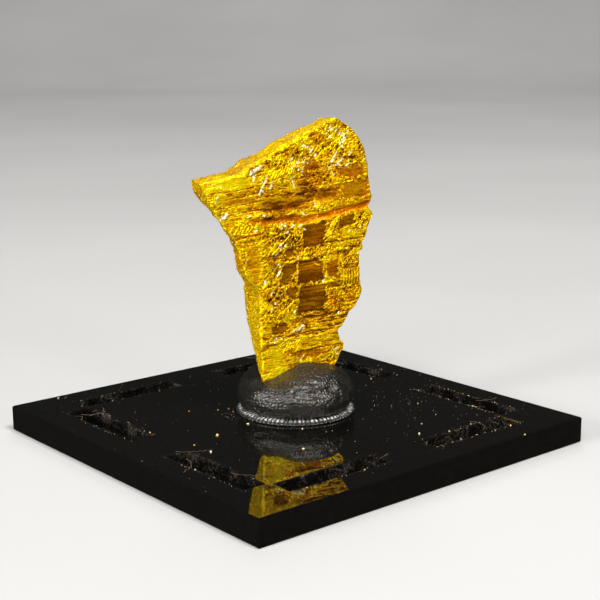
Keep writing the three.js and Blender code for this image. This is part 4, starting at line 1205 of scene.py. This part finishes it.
def plate_material():
    g = Graph("black_acrylic")
    place = g.place()
    haze = g.noise(place, 0.35, 3.0, 0.7)
    black = g.colours(haze, [(0.4, (0.0016, 0.0015, 0.0012)), (0.75, (0.006, 0.0054, 0.0042))])
    dust = slot_dust(g, place)
    fill(g.shader, {
        "Base Color": g.blend(dust, black, (0.05, 0.04, 0.03)),
        "Roughness": g.range(g.noise(place, 9.0, 3.0), 0.35, 0.7, 0.015, 0.05) + dust * 0.6,
        "IOR": 1.85,
    })
    return g.material


def disc_material():
    g = Graph("clear_plastic")
    place = g.place()
    cloud = g.noise(place, 0.5, 3.0)
    # The painted rim highlight, broken up by noise, whitens the base colour.
    painted_rim_highlight = g.mark("painted_rim_highlight") * g.range(g.noise(place, 0.3), 0.36, 0.5)
    dim = g.colours(cloud, [(0.3, (0.02, 0.019, 0.017)), (0.7, (0.07, 0.067, 0.06))])
    fill(g.shader, {
        "Base Color": g.blend(painted_rim_highlight, dim, (1.0, 0.97, 0.88)),
        "Roughness": g.range(cloud, 0.3, 0.7, 0.18, 0.32),
        "IOR": 1.5,
        "Transmission Weight": g.range(painted_rim_highlight, 0.0, 0.7, 0.5, 0.0),
    })
    return g.material


def dust_material():
    g = Graph("dust")
    speckle = g.noise(g.place(), 0.12)
    colour = g.colours(g.mark("kind"), [
        (0.0, (0.06, 0.045, 0.03)), (0.4, (0.2, 0.13, 0.08)), (0.6, (0.3, 0.27, 0.22)),
        (0.8, (0.7, 0.38, 0.02)), (1.0, (1.0, 0.9, 0.6)),
    ])
    fill(g.shader, {
        "Base Color": g.blend(g.range(speckle, 0.3, 0.8, 0.0, 0.4), colour, (0.1, 0.07, 0.04)),
        "Roughness": g.range(speckle, 0.3, 0.7, 0.4, 0.7),
    })
    return g.material


def floor_material():
    g = Graph("floor")
    tone = g.noise(g.place(), 120.0)
    pale = g.colours(tone, [(0.3, (0.48, 0.474, 0.461)), (0.7, (0.52, 0.514, 0.5))])
    fill(g.shader, {"Base Color": pale, "Roughness": 0.7})
    return g.material


def dress(piece, material):
    piece.data.materials.clear()
    piece.data.materials.append(material)


# ---- the stage, the light and the camera ----

# Places are in metres.
CAMERA_AT = (-0.0984, -0.1188, 0.05096)
CAMERA_AIM = (0.0423, 0.0486, 0.0032)
CAMERA_ROLL = math.radians(-0.34)
CAMERA_LENS = 78.05
LAMPS_AIM = (0, 0, 0.02)
# Square lamps: name, place and side in metres, power in watts, and whether gloss mirrors them.
LAMPS = [
    ("key", (0.03, -0.42, 0.70), 0.26, 6.35, True), ("left", (-0.62, 0.03, 0.22), 0.12, 3.6, True),
    ("fill", (-0.42, -0.30, 0.50), 0.4, 3.2, True), ("low", (-0.02, -0.66, 0.22), 0.08, 0.9, True),
    ("back", (0.6, 0.72, 0.9), 0.5, 5.6, False),
]
ROOM = (0.025, 0.025, 0.025, 1)
# The floor's radius and the height of its rim, mm, and how much of the radius is flat.
FLOOR_REACH, FLOOR_RISE, FLOOR_FLAT = 1800, 900, 0.42


def aimed(place, aim):
    """The turn of a lamp or a camera at a place that looks at another."""
    return (Vector(aim) - Vector(place)).to_track_quat("-Z", "Y")


def make_camera():
    data = bpy.data.cameras.new("camera")
    data.lens = CAMERA_LENS
    data.sensor_width = 36
    data.clip_start = 0.01
    camera = bpy.data.objects.new("camera", data)
    bpy.context.scene.collection.objects.link(camera)
    turn = aimed(CAMERA_AT, CAMERA_AIM).to_matrix().to_4x4() @ Matrix.Rotation(CAMERA_ROLL, 4, "Z")
    camera.matrix_world = Matrix.Translation(CAMERA_AT) @ turn
    bpy.context.scene.camera = camera


def make_lamp(name, place, side, power, mirrored):
    data = bpy.data.lights.new(name, "AREA")
    data.shape = "RECTANGLE"
    data.size, data.size_y = side, side
    data.energy = power
    light = bpy.data.objects.new(name, data)
    light.visible_glossy = mirrored
    bpy.context.scene.collection.objects.link(light)
    light.location = place
    light.rotation_euler = aimed(place, LAMPS_AIM).to_euler()


def make_floor():
    """A pale bowl: flat under the part, then rising all round. Gloss and glass see the dark room past it."""
    rings, around = 60, 96
    points, faces = [], []
    for a in range(rings):
        reach = a / (rings - 1)
        radius = FLOOR_REACH * reach
        height = FLOOR_RISE * max(0.0, reach - FLOOR_FLAT) ** 2 / (1 - FLOOR_FLAT) ** 2
        turns = (2 * math.pi * b / around for b in range(around))
        points += [(radius * math.cos(turn), radius * math.sin(turn), height) for turn in turns]
    for a in range(1, rings):
        low, high = (a - 1) * around, a * around
        for b in range(around):
            c = (b + 1) % around
            faces.append((low + b, high + b, high + c, low + c) if a > 1 else (0, high + b, high + c))
    floor = mesh_object("floor", points, faces, smooth=True)
    floor.visible_glossy = False
    floor.visible_transmission = False
    dress(floor, floor_material())


def make_stage():
    make_floor()
    for lamp in LAMPS:
        make_lamp(*lamp)
    world = bpy.data.worlds.new("world")
    bpy.context.scene.world = world
    world.use_nodes = True
    world.node_tree.nodes["Background"].inputs["Color"].default_value = ROOM
    bpy.context.scene.view_settings.view_transform = "Standard"


# ---- putting it together ----

make_camera()
make_stage()

blade = make_blade()
dress(blade, orpiment_material())
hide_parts("orpiment_blade")
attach(blade, "root")

putty = make_putty()
dress(putty, putty_material())
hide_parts("putty_mount")
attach(putty, "root")

disc = make_disc()
dress(disc, disc_material())
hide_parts("foot_disc")
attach(disc, "root")

dust = make_dust()
dress(dust, dust_material())
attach(dust, "root")

dress(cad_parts["base_plate"], plate_material())
